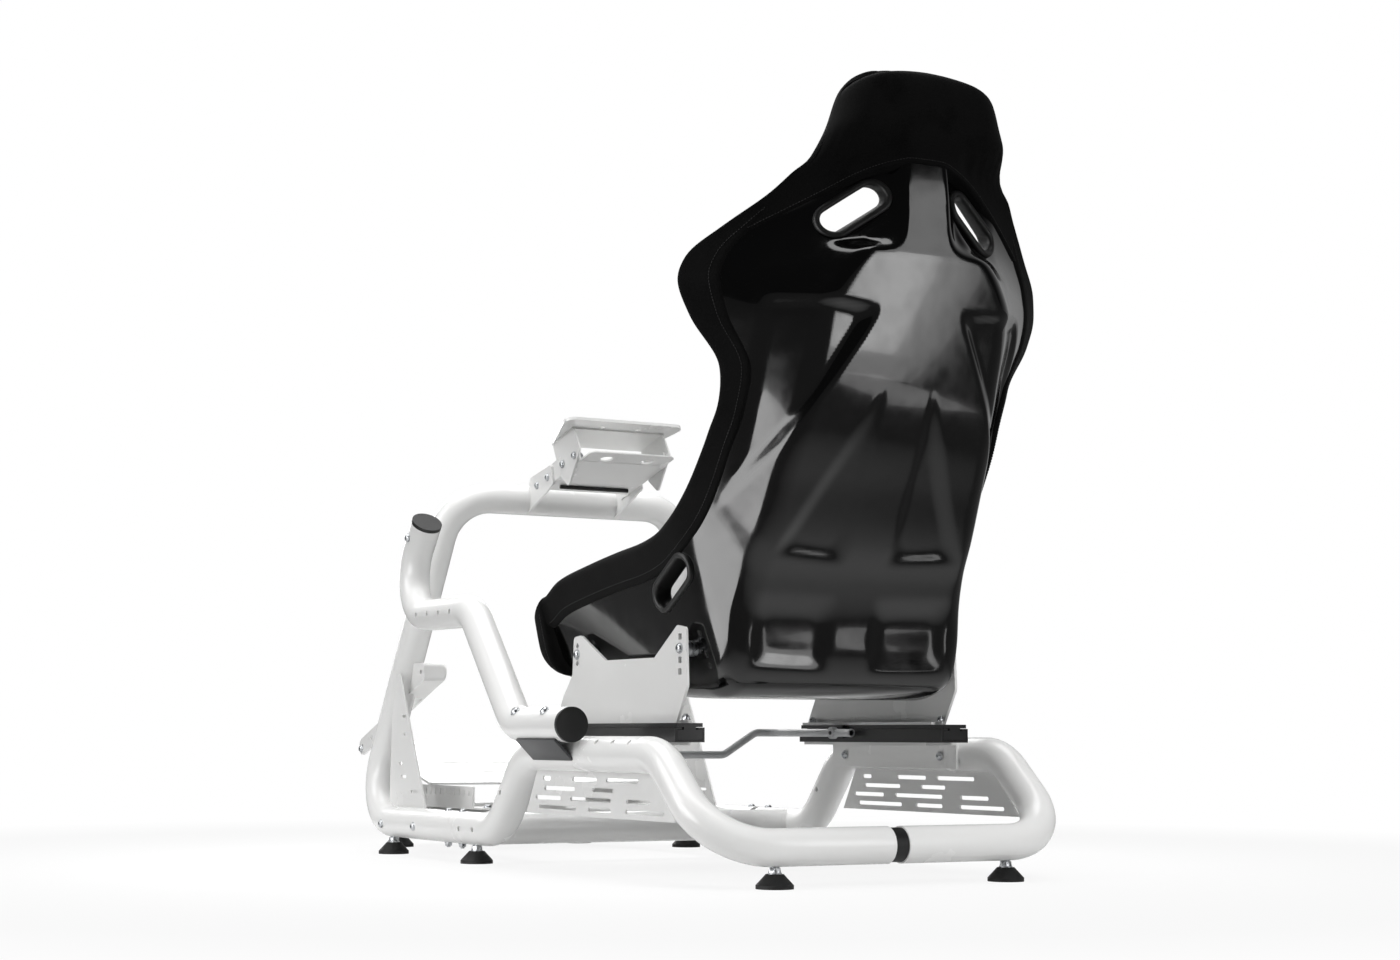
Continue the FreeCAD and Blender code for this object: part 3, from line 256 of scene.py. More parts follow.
# %% [markdown]
# ## Floor and light
# The picture has a plain white ground. The floor is a large pale disc: seen by the camera, most of its light is a flat
# white that grows to all of it far away, and near the cockpit the rest is the shaded surface, so a soft shadow stays.
# The world is a dim room with a white backdrop ahead of the camera, which gloss surfaces mirror too.

# %% Floor
FLOOR_RADIUS, FLOOR_SIDES = 60.0, 96
FLAT_NEAR, FLAT_FAR, FADE_FROM, FADE_TO, FLAT_MIRRORED = 0.86, 1.0, 0.7, 2.0, 0.1
floor_mesh = bpy.data.meshes.new("floor")
corners = [(FLOOR_RADIUS * math.cos(a), FLOOR_RADIUS * math.sin(a), 0.0)
           for a in np.linspace(0, 2 * math.pi, FLOOR_SIDES, endpoint=False)]
floor_mesh.from_pydata(corners, [], [range(FLOOR_SIDES)])
put("floor", floor_mesh)
material, tree, surface, where = finish("white_studio_floor", "#E2E2E2", 0.9)
rays = add(tree, "ShaderNodeLightPath").outputs
far = add(tree, "ShaderNodeVectorMath", {"operation": "LENGTH"}, {0: where}).outputs["Value"]
# The shaded part darkens between 0.8 and 1.44 m from the middle; a ramp takes no value over 1, so metres are quartered.
tree.links.new(colours(tree, maths(tree, "MULTIPLY", far, 0.25), "#E2E2E2", "#202020", 0.2, 0.36),
               surface.inputs["Base Color"])
flat = shade_range(tree, far, FLAT_NEAR, FLAT_FAR, FADE_FROM, FADE_TO)
mirrored = maths(tree, "MULTIPLY_ADD", rays["Is Glossy Ray"], FLAT_MIRRORED, rays["Is Camera Ray"])
share = maths(tree, "MULTIPLY", maths(tree, "MAXIMUM", mirrored, rays["Is Transmission Ray"]), flat)
glow = add(tree, "ShaderNodeEmission", {}, {"Color": (1, 1, 1, 1), "Strength": 1.0}).outputs[0]
mixed = add(tree, "ShaderNodeMixShader", {}, {0: share, 1: surface.outputs[0], 2: glow}).outputs[0]
tree.links.new(mixed, tree.nodes["Material Output"].inputs["Surface"])
floor_mesh.materials.append(material)
print("floor radius", FLOOR_RADIUS, "m")

# %% World
BACKDROP_SIDE, BACKDROP_SHARE, BACKDROP_EDGE, ROOM_LIGHT = (0.49, 0.87, 0.0), 0.35, 0.6, 0.04
world = bpy.data.worlds.new("studio")
world.use_nodes = True
bpy.context.scene.world = world
tree = world.node_tree
rays = add(tree, "ShaderNodeLightPath").outputs
way = add(tree, "ShaderNodeTexCoord").outputs["Generated"]
towards = add(tree, "ShaderNodeVectorMath", {"operation": "DOT_PRODUCT"}, {0: way, 1: BACKDROP_SIDE}).outputs["Value"]
backdrop = shade_range(tree, towards, 0.0, BACKDROP_SHARE, 0.0, BACKDROP_EDGE)
mirrored = maths(tree, "MULTIPLY", rays["Is Glossy Ray"], backdrop)
seen = maths(tree, "MAXIMUM", maths(tree, "MAXIMUM", rays["Is Camera Ray"], mirrored), rays["Is Transmission Ray"])
white = add(tree, "ShaderNodeBackground", {}, {"Color": (1, 1, 1, 1), "Strength": 1.0}).outputs[0]
room = tree.nodes["Background"]
room.inputs["Color"].default_value = linear("#F4F6F8")
room.inputs["Strength"].default_value = ROOM_LIGHT
mixed = add(tree, "ShaderNodeMixShader", {}, {0: seen, 1: room.outputs[0], 2: white}).outputs[0]
tree.links.new(mixed, tree.nodes["World Output"].inputs["Surface"])
bpy.context.scene.view_settings.view_transform = "Standard"
print("room light", ROOM_LIGHT)

# %% [markdown]
# Soft boxes stand round the cockpit. A large one overhead and three around it give the white tubes their shape. Two
# tall ones behind the seat to the right, a slim one in front of a wide one, are what the shell's back mirrors as a
# grey column with soft edges. White cards, which only gloss surfaces see, draw the streak up the shell's left corner
# and the foot of the column.


# %% Lamps
def soft_box(name, place, aim, width, height, power):
    """A rectangular studio lamp that faces a point and isn't seen itself."""
    lamp = bpy.data.lights.new(name, "AREA")
    lamp.shape = "RECTANGLE"
    lamp.size, lamp.size_y, lamp.energy = width, height, power
    holder = put(name, lamp)
    holder.location = place
    holder.rotation_euler = (Vector(aim) - Vector(place)).to_track_quat("-Z", "Y").to_euler()
    holder.visible_camera = False
    return holder


soft_box("overhead_box", (-0.2, 0.1, 3.4), (0, 0, 0.4), 3.2, 3.2, 108)
soft_box("left_box", (-3.2, 0.5, 2.0), (0, 0, 0.4), 1.8, 2.0, 54)
soft_box("front_box", (0.6, 3.2, 1.6), (0, 0, 0.5), 2.4, 2.0, 52)
soft_box("rear_high_box", (0.1, -3.6, 3.2), (0, -0.3, 0.3), 2.6, 1.6, 98).visible_glossy = False
soft_box("slim_right_box", (0.78, -1.95, 0.56), (0.1, -0.72, 0.65), 0.15, 0.74, 1.2)
soft_box("wide_right_box", (0.80, -1.96, 0.69), (0.1, -0.72, 0.75), 0.3, 1.34, 2.9)
for name, place, aim, width, height, power in (
        ("left_card", (-1.6, -0.49, 0.38), (-0.2, -0.49, 0.4), 1.06, 0.66, 12),
        ("floor_card", (0.79, -1.74, 0.02), (0.79, -1.74, 1.0), 0.2, 0.42, 0.5)):
    soft_box(name, place, aim, width, height, power).visible_diffuse = False

# %% [markdown]
# ## The seat's form
# A bucket seat is laid up in a mould: one U-shaped skin that runs from the front lip under the thighs, up the back
# and over the head. It is given here by stations along its length. Each station says where the back of the U and
# the middle of its rim lie, how wide both are, and how far the cloth folds over the rim. Values between stations
# follow a smooth curve that never overshoots, and a point of the seat is then given by its place along the seat, its
# depth in from the outer face, and the distance from the rim round the U.

# %% Stations of the seat
SEAT_BACK, SEAT_BASE, SEAT_CORNER = -100, 248, 40
WALL, PAD, CLOTH_PROUD = 7.4, 33.4, 3.0
LIP = ((724, 66, 728, 126, 216, 232, 4), (716, 46, 722, 142, 222, 238, 4), (692, 40, 704, 158, 222, 240, 4))
SHELL = (
    (684, 44, 697, 161, 198, 236, 55), (635, 38, 650, 182, 196, 238, 58), (550, 23, 555, 199, 194, 238, 58),
    (450, 10, 460, 212, 192, 238, 58), (360, 2, 390, 220, 190, 238, 58), (280, 0, 340, 231, 188, 238, 58),
    (225, 14, 305, 248, 187, 238, 58), (208, 52, 285, 261, 184, 238, 58), (198, 107, 265, 277, 179, 238, 58),
    (180, 157, 245, 296, 173, 238, 56), (152, 207, 225, 319, 168, 238, 52), (118, 282, 196, 357, 162, 238, 46),
    (82, 352, 175, 394, 155, 235, 45), (52, 423, 162, 442, 150, 241, 52), (28, 502, 170, 507, 146, 283, 60),
    (13, 566, 173, 556, 116, 300, 65), (9, 592, 165, 582, 92, 294, 65), (8, 640, 130, 625, 52, 252, 50),
    (9, 690, 90, 665, 36, 205, 36), (10, 722, 68, 698, 28, 174, 24))
HEAD = ((6, 732, 65, 707, 82, 161, 4), (4, 743, 64, 719, 128, 152, 4), (2, 775, 62, 757, 140, 128, 4),
        (0, 815, 54, 801, 130, 115, 4), (4, 842, 42, 834, 104, 90, 4))
ARCH_DROP, ARCH_POWER, HEM_LOW, SHELL_LAP = 92.0, 3.0, 12.0, 6.0


def smooth_values(knots, values, places):
    """Cubic curves through the values at the knots that keep every rise and fall of the data and add none."""
    step = np.diff(knots)[:, None]
    slope = np.diff(values, axis=0) / step
    before, after = slope[:-1], slope[1:]
    with np.errstate(divide="ignore", invalid="ignore"):
        middle = (step[:-1] + step[1:]) * 1.5 / ((2 * step[1:] + step[:-1]) / (2 * before)
                                                 + (step[1:] + 2 * step[:-1]) / (2 * after))
    middle = np.where(before * after > 0, middle, 0)
    tangent = np.vstack((slope[:1], middle, slope[-1:]))
    k = np.clip(np.searchsorted(knots, places, side="right") - 1, 0, len(knots) - 2)
    h = step[k]
    t = ((places - knots[k])[:, None]) / h
    return ((2 * t ** 3 - 3 * t ** 2 + 1) * values[k] + (t ** 3 - 2 * t ** 2 + t) * h * tangent[k]
            + (3 * t ** 2 - 2 * t ** 3) * values[k + 1] + (t ** 3 - t ** 2) * h * tangent[k + 1])


def lengths(stations):
    """The distance along the seat at each station, half way between the back of the U and its rim."""
    s = np.array(stations, float)
    step = np.hypot(*np.diff(s[:, :2], axis=0).T) + np.hypot(*np.diff(s[:, 2:4], axis=0).T)
    return np.concatenate(((0,), np.cumsum(step / 2)))


def seat_grid(stations, along, deep, round_u):
    """Points of the seat's right half in millimetres, and how far it is from the rim round the U to the middle."""
    flat = smooth_values(lengths(stations), np.array(stations, float), along.ravel())
    back_y, back_z, rim_y, rim_z, back_half, rim_half = (flat[:, i].reshape(along.shape) for i in range(6))
    depth = np.hypot(rim_y - back_y, rim_z - back_z)
    in_y, in_z = (rim_y - back_y) / depth, (rim_z - back_z) / depth
    lean = np.arctan2(rim_half - back_half, depth)
    across, rise = np.sin(lean), np.cos(lean)
    radius = SEAT_CORNER - deep
    bend = math.pi / 2 - lean
    run = radius * np.tan(bend / 2)
    corner = back_half - rise * deep + (deep - across * deep) / rise * across
    end = back_half - rise * deep + (depth - across * deep) / rise * across
    wall, arc = (depth - deep - run * rise) / rise, radius * bend
    angle = bend - np.clip(round_u - wall, 0, arc) / radius
    on_wall, on_back = round_u <= wall, round_u >= wall + arc
    u = np.where(on_wall, end - round_u * across, corner - run + radius * np.sin(angle))
    v = np.where(on_wall, depth - round_u * rise, deep + radius - radius * np.cos(angle))
    u = np.where(on_back, np.maximum(corner - run - (round_u - wall - arc), 0), u)
    v = np.where(on_back, deep, v)
    points = np.stack((u, SEAT_BACK + back_y + in_y * v, SEAT_BASE + back_z + in_z * v), axis=-1)
    return points, wall + arc + corner - run


def grid_faces(rows, columns, closed=False):
    """Quads of a grid of points, rows first, and round again where it is closed."""
    last = columns if closed else columns - 1
    return [(r * columns + c, r * columns + (c + 1) % columns, (r + 1) * columns + (c + 1) % columns,
             (r + 1) * columns + c) for r in range(rows - 1) for c in range(last)]


def mesh_piece(name, points, faces, slot):
    """A smooth mesh object from points in millimetres, with the finish of a slot."""
    mesh = bpy.data.meshes.new(name)
    mesh.from_pydata([tuple(p) for p in (np.asarray(points).reshape(-1, 3) - ORIGIN) * MM], [], faces)
    mesh.materials.append(FINISH[slot])
    mesh.shade_smooth()
    return put(name, mesh)


def baked(piece):
    """Replaces a piece's mesh by what its modifiers make, and removes them."""
    graph = bpy.context.evaluated_depsgraph_get()
    mesh = bpy.data.meshes.new_from_object(piece.evaluated_get(graph))
    piece.modifiers.clear()
    piece.data = mesh
    mesh.name = piece.name
    return piece


def divided(piece):
    """A piece with its mesh divided once, which rounds it."""
    divide = piece.modifiers.new("divide", "SUBSURF")
    divide.levels = divide.render_levels = 1
    return baked(piece)


def triangles(piece):
    return sum(len(p.vertices) - 2 for p in piece.data.polygons)


def outward(piece, merge=0.0):
    """Merges doubled points and turns all faces outwards."""
    work = bmesh.new()
    work.from_mesh(piece.data)
    if merge:
        bmesh.ops.remove_doubles(work, verts=work.verts, dist=merge * MM)
        bmesh.ops.dissolve_degenerate(work, edges=work.edges, dist=1e-6)
    bmesh.ops.recalc_face_normals(work, faces=work.faces)
    work.to_mesh(piece.data)
    work.free()
    return piece


print("seat length", round(lengths(LIP + SHELL + HEAD)[-1]), "mm along", len(LIP + SHELL + HEAD), "stations")

# %% [markdown]
# ## The moulded shell
# The shell is a skin a few millimetres thick with stiffening shapes pressed into its back: two triangles below the
# shoulders that run out to the sides, two long ones that leave a raised letter A between them, two square pads low
# down, and a pocket round each shoulder slot beside a raised spine. They could be carved with booleans, but a mould
# has soft edges, so each point of a fine grid is pushed in by a smooth step of its distance inside the outline.

# %% Shapes pressed into the shell
# Each is an outline in X and height, how deep, how wide its edge is, and where it fades out at the side.
PRESSED = (
    (((52, 520), (230, 534), (230, 205), (160, 330)), 11, 20, 215),
    (((33, 436), (27, 178), (162, 186)), 6.5, 26, 176),
    (((24, 142), (168, 146), (171, 34), (24, 30)), 6, 34, 186),
)
EDGE_ROUNDING, BACK_FADE, SIDE_FADE, POCKET_FADE = 7, (170, 40), 24, (84, 70)
POCKET, POCKET_DEEP, POCKET_EDGE, POCKET_ROUNDING = ((31, 588), (31, 820), (190, 820), (190, 580)), 14, 20, 16


def soft_step(t):
    """0 to 1 with level ends."""
    t = np.clip(t, 0, 1)
    return t * t * (3 - 2 * t)


def inside_by(outline, x, z, rounding=EDGE_ROUNDING):
    """How far points lie inside a convex outline, with its corners rounded off."""
    ring = np.array(outline, float)
    if np.cross(ring[1] - ring[0], ring[2] - ring[1]) < 0:
        ring = ring[::-1]
    total = 0
    for a, b in zip(ring, np.roll(ring, -1, axis=0)):
        way = (b - a) / np.linalg.norm(b - a)
        total = total + np.exp(-(way[0] * (z - a[1]) - way[1] * (x - a[0])) / rounding)
    return -rounding * np.log(total)


def pressed_in(points):
    """How far forward the mould pushes points of the seat's back, in millimetres."""
    x, y, height = points[..., 0], points[..., 1], points[..., 2] - SEAT_BASE
    push = 0
    for outline, deep, edge, side in PRESSED:
        fade = soft_step((BACK_FADE[0] - y) / BACK_FADE[1]) * soft_step((side - x) / SIDE_FADE)
        push = push + deep * soft_step(inside_by(outline, x, height) / edge) * fade
    pocket = soft_step(inside_by(POCKET, x, height, POCKET_ROUNDING) / POCKET_EDGE)
    return push + POCKET_DEEP * pocket * (1 - soft_step((x - POCKET_FADE[0]) / POCKET_FADE[1]))


# %% The shell's skin
SHELL_ROWS, SHELL_COLUMNS, UNDER_CLOTH, SKIN = 252, 94, 14, 5
along, share = np.meshgrid(np.linspace(0, 1, SHELL_ROWS), np.linspace(0, 1, SHELL_COLUMNS), indexing="ij")
along = along * (lengths(SHELL)[-1] - HEM_LOW + SHELL_LAP - ARCH_DROP * (1 - share) ** ARCH_POWER)
fold = smooth_values(lengths(SHELL), np.array(SHELL, float), along.ravel())[:, 6].reshape(along.shape)
whole = seat_grid(SHELL, along, np.zeros_like(along), np.zeros_like(along))[1]
start = fold - UNDER_CLOTH
half, _ = seat_grid(SHELL, along, np.zeros_like(along), start + (whole - start) * share)
half[..., 1] += pressed_in(half)
other = half[:, -2::-1].copy()
other[..., 0] *= -1
skin = np.concatenate((half, other), axis=1)
shell = outward(mesh_piece("moulded_shell", skin, grid_faces(*skin.shape[:2]), "shell_black"))
thicken = shell.modifiers.new("thickness", "SOLIDIFY")
thicken.thickness, thicken.offset = SKIN * MM, -1
baked(shell)
print("shell triangles", triangles(shell))

# %% [markdown]
# ## The cloth cover
# The cover is foam and velour over the inside of the shell. It rolls over the rim, folds down outside it, and wraps
# the front lip and the whole head. One closed grid makes it: columns run round the U, down the outside fold to the
# hem, under the shell and back along the inside, and rows run from the lip to the head. The hem over the head is an
# arch, so rows near it are bent. Seams on the inside are lines of points that stay put while pressure in a cloth
# simulation swells the panels between them.

# %% Where the slots are
# Each has a centre, the axis that it is cut along, the way that it runs, its length and width, and the cut's two ends.
SIDES, SHOULDER_SLOPE, HIP_SLOPE = (("left", -1), ("right", 1)), math.radians(35), math.radians(30)
SLOTS = {}
for side, sign in SIDES:
    SLOTS["shoulder_" + side] = ((sign * 97, -55, 896), (0, 1, 0),
                                 (sign * math.cos(SHOULDER_SLOPE), 0, -math.sin(SHOULDER_SLOPE)), 92, 30, (-160, 60))
    SLOTS["hip_" + side] = ((sign * 219, 212, 407), (-sign, 0, 0),
                            (0, math.cos(HIP_SLOPE), -math.sin(HIP_SLOPE)), 94, 29, (-60, 70))


def near_slot(points, inner, outer):
    """1 within inner millimetres of a slot's outline, falling to 0 at outer millimetres."""
    near = np.zeros(points.shape[:-1])
    for centre, axis, way, length, width, _ in SLOTS.values():
        gap = points - np.array(centre)
        off = gap - (gap @ np.array(axis))[..., None] * np.array(axis)
        run = np.clip(off @ np.array(way), -(length - width) / 2, (length - width) / 2)
        away = np.linalg.norm(off - run[..., None] * np.array(way), axis=-1) - width / 2
        near = np.maximum(near, 1 - soft_step((away - inner) / (outer - inner)))
    return near


print("slots:", ", ".join(SLOTS))

# %% Rows and columns of the cover
STATIONS = LIP + SHELL + HEAD
TOTAL = lengths(STATIONS)
LIP_HEM, HEAD_HEM, END = TOTAL[len(LIP)] - 4, TOTAL[len(LIP) + len(SHELL) - 1] - HEM_LOW, TOTAL[-1]
ARCH_REACH, ROUND_END, ROLL_RADIUS = 120.0, 17.0, 15.0
ROW_STEP, INNER_COLUMNS, LEAST_FOLD = 11.5, 34, 24
THIN_NEAR, THIN_FAR = 6, 46
CROSS_SEAMS = (0.075, 0.375, 0.62, 0.80, 0.905)
BOLSTER_SEAM = 0.66


def spread(low, high, step):
    """Even steps from low to just short of high."""
    return list(np.linspace(low, high, max(2, round((high - low) / step) + 1)))[:-1]


quarter = np.linspace(0, math.pi / 2, 6)
ease = [ROUND_END * (1 - math.cos(a)) for a in quarter]
rows = ease[:-1] + spread(ROUND_END, LIP_HEM - 3, ROW_STEP)
rows += [LIP_HEM - 3, LIP_HEM - 0.8, LIP_HEM, LIP_HEM + 0.4]
rows += spread(LIP_HEM + 6, HEAD_HEM - 6, ROW_STEP)
rows += [HEAD_HEM - 6, HEAD_HEM - 0.4, HEAD_HEM, HEAD_HEM + 0.8, HEAD_HEM + 3]
rows += spread(HEAD_HEM + 9, END - ROUND_END, ROW_STEP) + [END - e for e in ease[::-1]]
rows = np.array(rows)
covered = (rows <= LIP_HEM - 0.5) | (rows >= HEAD_HEM + 0.5)
hem_row = (np.abs(rows - LIP_HEM) < 0.5) | (np.abs(rows - HEAD_HEM) < 0.5)

# A column is a depth, a distance from the rim and a share of the way from there to the seat's middle.
inner_columns = [(PAD, ROLL_RADIUS, t) for t in np.linspace(1, 0, INNER_COLUMNS)]
roll_columns = [(PAD - ROLL_RADIUS * (1 - math.cos(a)), ROLL_RADIUS * (1 - math.sin(a)), 0)
                for a in quarter[1:]]
roll_columns += [(-CLOTH_PROUD + ROLL_RADIUS * (1 - math.sin(a)), ROLL_RADIUS * (1 - math.cos(a)), 0)
                 for a in quarter]
FOLD_COLUMNS, UNDER_COLUMNS, SLOT_DIP, LEAST_PAD = 6, 22, 16, 5
inner_count = len(inner_columns)
columns = inner_columns + roll_columns
fold_first = len(columns)
under_first = fold_first + FOLD_COLUMNS + 2
count = under_first + UNDER_COLUMNS
deep = np.zeros((len(rows), count))
reach = np.zeros_like(deep)
part_way = np.zeros_like(deep)
for c, (d, q, t) in enumerate(columns):
    deep[:, c], reach[:, c], part_way[:, c] = d, q, t
print("cover grid:", len(rows), "rows,", 2 * count - 2, "columns")

# %% Bend the rows to the arch and place the points
to_middle = np.clip((np.arange(count) - under_first) / (UNDER_COLUMNS - 1), 0, 1)
bend_share = np.where(np.arange(count) >= fold_first, (1 - to_middle) ** ARCH_POWER, 0)
bend_share *= np.clip((np.arange(count) - fold_first + 1) / (under_first - fold_first + 1), 0, 1)
along = rows[:, None] - ARCH_DROP * bend_share * np.exp(-((rows[:, None] - HEAD_HEM) / ARCH_REACH) ** 2)
fold = smooth_values(TOTAL, np.array([s[:6] + (max(s[6], LEAST_FOLD),) for s in STATIONS], float), along.ravel())
fold = fold[:, 6].reshape(along.shape)
for c in range(fold_first, under_first):
    share = min((c - fold_first + 1) / FOLD_COLUMNS, 1)
    reach[:, c] = ROLL_RADIUS + (fold[:, c] - ROLL_RADIUS) * share
    deep[:, c] = -CLOTH_PROUD
tuck = under_first - 2
hidden = ~covered & ~hem_row
deep[hidden, tuck], deep[hidden, tuck + 1] = 1.0, WALL
reach[:, tuck] += 0.3
reach[:, tuck + 1] += 0.6
for c in range(under_first, count):
    deep[:, c] = np.where(covered, -CLOTH_PROUD, np.where(hem_row, 1.0, WALL))
    reach[:, c] = fold[:, c] + 0.9
    part_way[:, c] = (c - under_first) / (UNDER_COLUMNS - 1)
whole = seat_grid(STATIONS, along, deep, reach)[1]
middle = (PAD - CLOTH_PROUD) / 2
ends = np.minimum(np.minimum(rows, END - rows) / ROUND_END, 1)
thin = np.sqrt(np.clip(1 - (1 - ends) ** 2, 0, 1))[:, None]
deep = middle + (deep - middle) * np.maximum(thin, 0.02)
half, _ = seat_grid(STATIONS, along, deep, reach + (whole - reach) * part_way)
thinned = near_slot(half, THIN_NEAR, THIN_FAR)
thinned[:, inner_count:] = 0
half, _ = seat_grid(STATIONS, along, deep - SLOT_DIP * thinned, reach + (whole - reach) * part_way)
pressed = pressed_in(half)
half[hidden, tuck + 1:, 1] += pressed[hidden, tuck + 1:]
spare = PAD - SLOT_DIP * thinned - pressed - SKIN - LEAST_PAD
half[:, :inner_count, 1] -= np.minimum(spare, 0)[:, :inner_count]
other = half[:, -2:0:-1].copy()
other[..., 0] *= -1
loop = np.concatenate((half, other), axis=1)
faces = grid_faces(*loop.shape[:2], closed=True)
ring = loop.shape[1]
roll_middle = fold_first - len(quarter)


def zip_strip(first, second, points):
    """Triangles between two lines of points that start and end together."""
    made, i, j = [], 0, 0
    run = [np.concatenate(((0,), np.cumsum(np.linalg.norm(np.diff(points[line], axis=0), axis=1))))
           for line in (first, second)]
    while i < len(first) - 1 or j < len(second) - 1:
        ahead_i = run[0][i + 1] / run[0][-1] if i < len(first) - 1 else 2
        ahead_j = run[1][j + 1] / run[1][-1] if j < len(second) - 1 else 2
        if ahead_i <= ahead_j:
            made.append((first[i], first[i + 1], second[j]))
            i += 1
        else:
            made.append((first[i], second[j + 1], second[j]))
            j += 1
    return [f for f in made if len(set(f)) == 3]


for row in (0, len(rows) - 1):
    base, spots = row * ring, loop.reshape(-1, 3)
    inside_line = [base + c for c in range(roll_middle + 1)]
    outside_line = [base + c for c in range(count - 1, roll_middle - 1, -1)]
    faces += zip_strip(inside_line, outside_line, spots)
    faces += zip_strip([base + (ring - (i - base)) % ring for i in inside_line],
                       [base + (ring - (i - base)) % ring for i in outside_line], spots)
cover = mesh_piece("cloth_cover", loop, faces, "cloth_black")
outward(cover)
print("cover points", len(cover.data.vertices))

# %% [markdown]
# The panels are swollen by Blender's cloth with a little pressure. The rim, the outside and the seams are pinned, so
# only the panels of foam between the seams rise, and every rise is eased towards a set cap. After that the mesh is
# divided once, which rounds the seams.

# %% Swell the panels
CLOTH_FRAMES, PRESSURE, STRETCH, BENDING, CAP_MM = 20, 4.0, 15, 1.5, 9.0
PINNED_ROWS, PINNED_COLUMNS, PINNED_SLOT, PARTING, PARTING_SEED = 4, 3, 0.25, 0.02, 5
share_of_way = np.array([c[2] for c in inner_columns])
pinned = np.ones((len(rows), ring))
free = np.zeros((len(rows), count))
row_share = rows / END
seam_rows = [int(np.argmin(np.abs(row_share - s))) for s in CROSS_SEAMS]
seam_column = int(np.argmin(np.abs(share_of_way - BOLSTER_SEAM)))
free[PINNED_ROWS:-PINNED_ROWS, :inner_count - PINNED_COLUMNS] = 1
free[seam_rows, :seam_column + 1] = 0
free[:seam_rows[-2] + 1, seam_column] = 0
free[thinned > PINNED_SLOT] = 0
pinned[:, :count] = 1 - free
pinned[:, count:] = (1 - free)[:, -2:0:-1]
rest_points = np.array([v.co for v in cover.data.vertices])
group = cover.vertex_groups.new(name="sewn")
for i, weight in enumerate(pinned.ravel()):
    group.add([i], float(weight), "REPLACE")
# A few points at the ends share one spot, which would stop the simulation, so a hair of noise parts them.
apart = np.random.default_rng(PARTING_SEED).normal(0, PARTING * MM, rest_points.shape)
cover.data.vertices.foreach_set("co", (rest_points + apart).ravel().astype(np.float32))
swell = cover.modifiers.new("foam", "CLOTH")
swell.settings.vertex_group_mass = "sewn"
swell.settings.use_pressure = True
swell.settings.uniform_pressure_force = PRESSURE
swell.settings.effector_weights.gravity = 0
swell.settings.quality = 4
swell.settings.tension_stiffness = swell.settings.compression_stiffness = STRETCH
swell.settings.bending_stiffness = BENDING
swell.collision_settings.use_collision = False
swell.point_cache.frame_start, swell.point_cache.frame_end = 1, CLOTH_FRAMES
for step in range(1, CLOTH_FRAMES + 1):
    bpy.context.scene.frame_set(step)
baked(cover)
bpy.context.scene.frame_set(1)
moved = np.array([v.co for v in cover.data.vertices]) - rest_points - apart
size = np.linalg.norm(moved, axis=1, keepdims=True)
moved *= CAP_MM * MM * np.tanh(size / (CAP_MM * MM)) / np.maximum(size, 1e-9)
cover.data.vertices.foreach_set("co", (rest_points + moved).ravel().astype(np.float32))
cover.vertex_groups.clear()
rise = np.median(size[pinned.ravel() < 0.5]) / MM
print("before the cap, half of the panels' points rose by", round(float(rise), 1), "mm or more")
seam_points = np.array([v.co for v in cover.data.vertices]).reshape(len(rows), ring, 3)
divided(cover)
print("cover triangles", triangles(cover))

# %% [markdown]
# ## Belt slots
# Harness belts pass through four round-ended slots, two behind the shoulders and two at the hips. Each slot is cut
# through shell and cover with a boolean, and a black plastic trim lines it: a rounded flange on the shell, a sleeve
# through the foam and a smaller flange on the cloth. The trim is laid on the surfaces under it, which are found
# by rays along the slot.

# %% Outlines and cuts
SLOT_SIDES, SLEEVE = 14, 2.8


def slot_ring(length, width):
    """The outline of a round-ended slot as pairs, with the direction outwards at each."""
    radius, straight = width / 2, (length - width) / 2
    ring = []
    for centre, first in ((straight, -90), (-straight, 90)):
        for a in np.radians(np.linspace(first, first + 180, SLOT_SIDES)):
            ring.append(((centre + radius * math.cos(a), radius * math.sin(a)), (math.cos(a), math.sin(a))))
    return ring


def slot_axes(slot):
    """A slot's centre, its axis, the way it runs and the way across it."""
    centre, axis, way = (Vector(v) for v in slot[:3])
    return centre, axis, way, axis.cross(way)


def cut_slots(piece):
    """Cuts the four slots through a piece."""
    work = bmesh.new()
    for slot in SLOTS.values():
        centre, axis, way, side = slot_axes(slot)
        ring = slot_ring(slot[3] + 2 * SLEEVE, slot[4] + 2 * SLEEVE)
        lines = [[work.verts.new(spot(*(centre + way * p[0] + side * p[1] + axis * h))) for p, _ in ring]
                 for h in slot[5]]
        for i in range(len(ring)):
            j = (i + 1) % len(ring)
            work.faces.new((lines[0][i], lines[0][j], lines[1][j], lines[1][i]))
        work.faces.new(lines[0])
        work.faces.new(lines[1])
    bmesh.ops.recalc_face_normals(work, faces=work.faces)
    mesh = bpy.data.meshes.new("slot_cutters")
    work.to_mesh(mesh)
    work.free()
    cutter = put("slot_cutters", mesh)
    cutting = piece.modifiers.new("slots", "BOOLEAN")
    cutting.object, cutting.operation, cutting.solver = cutter, "DIFFERENCE", "EXACT"
    baked(piece)
    bpy.data.objects.remove(cutter)
    return piece


# %% Trims round the slots, then the cuts
RIM_SLACK, RIM_FOLLOW, RIM_MIDDLE, RAY_START = 4.0, 0.35, 6, 150
# Each point of the trim's section is a distance from the slot, the face it lies on (0 shell, 1 cloth) and a height.
TRIM_PROFILE = ((10, 0, -2.5), (10.4, 0, 1.5), (9.6, 0, 4.2), (7.4, 0, 5.6), (4.4, 0, 5.8), (2.2, 0, 4.6),
                (0.7, 0, 2), (0.3, 0, -3), (0.3, 1, -3), (0.7, 1, 2), (2.2, 1, 4), (4.4, 1, 4.6), (6.6, 1, 3),
                (7.4, 1, 0.5), (7.4, 1, -3))
trees = [BVHTree.FromObject(o, bpy.context.evaluated_depsgraph_get()) for o in (shell, cover)]


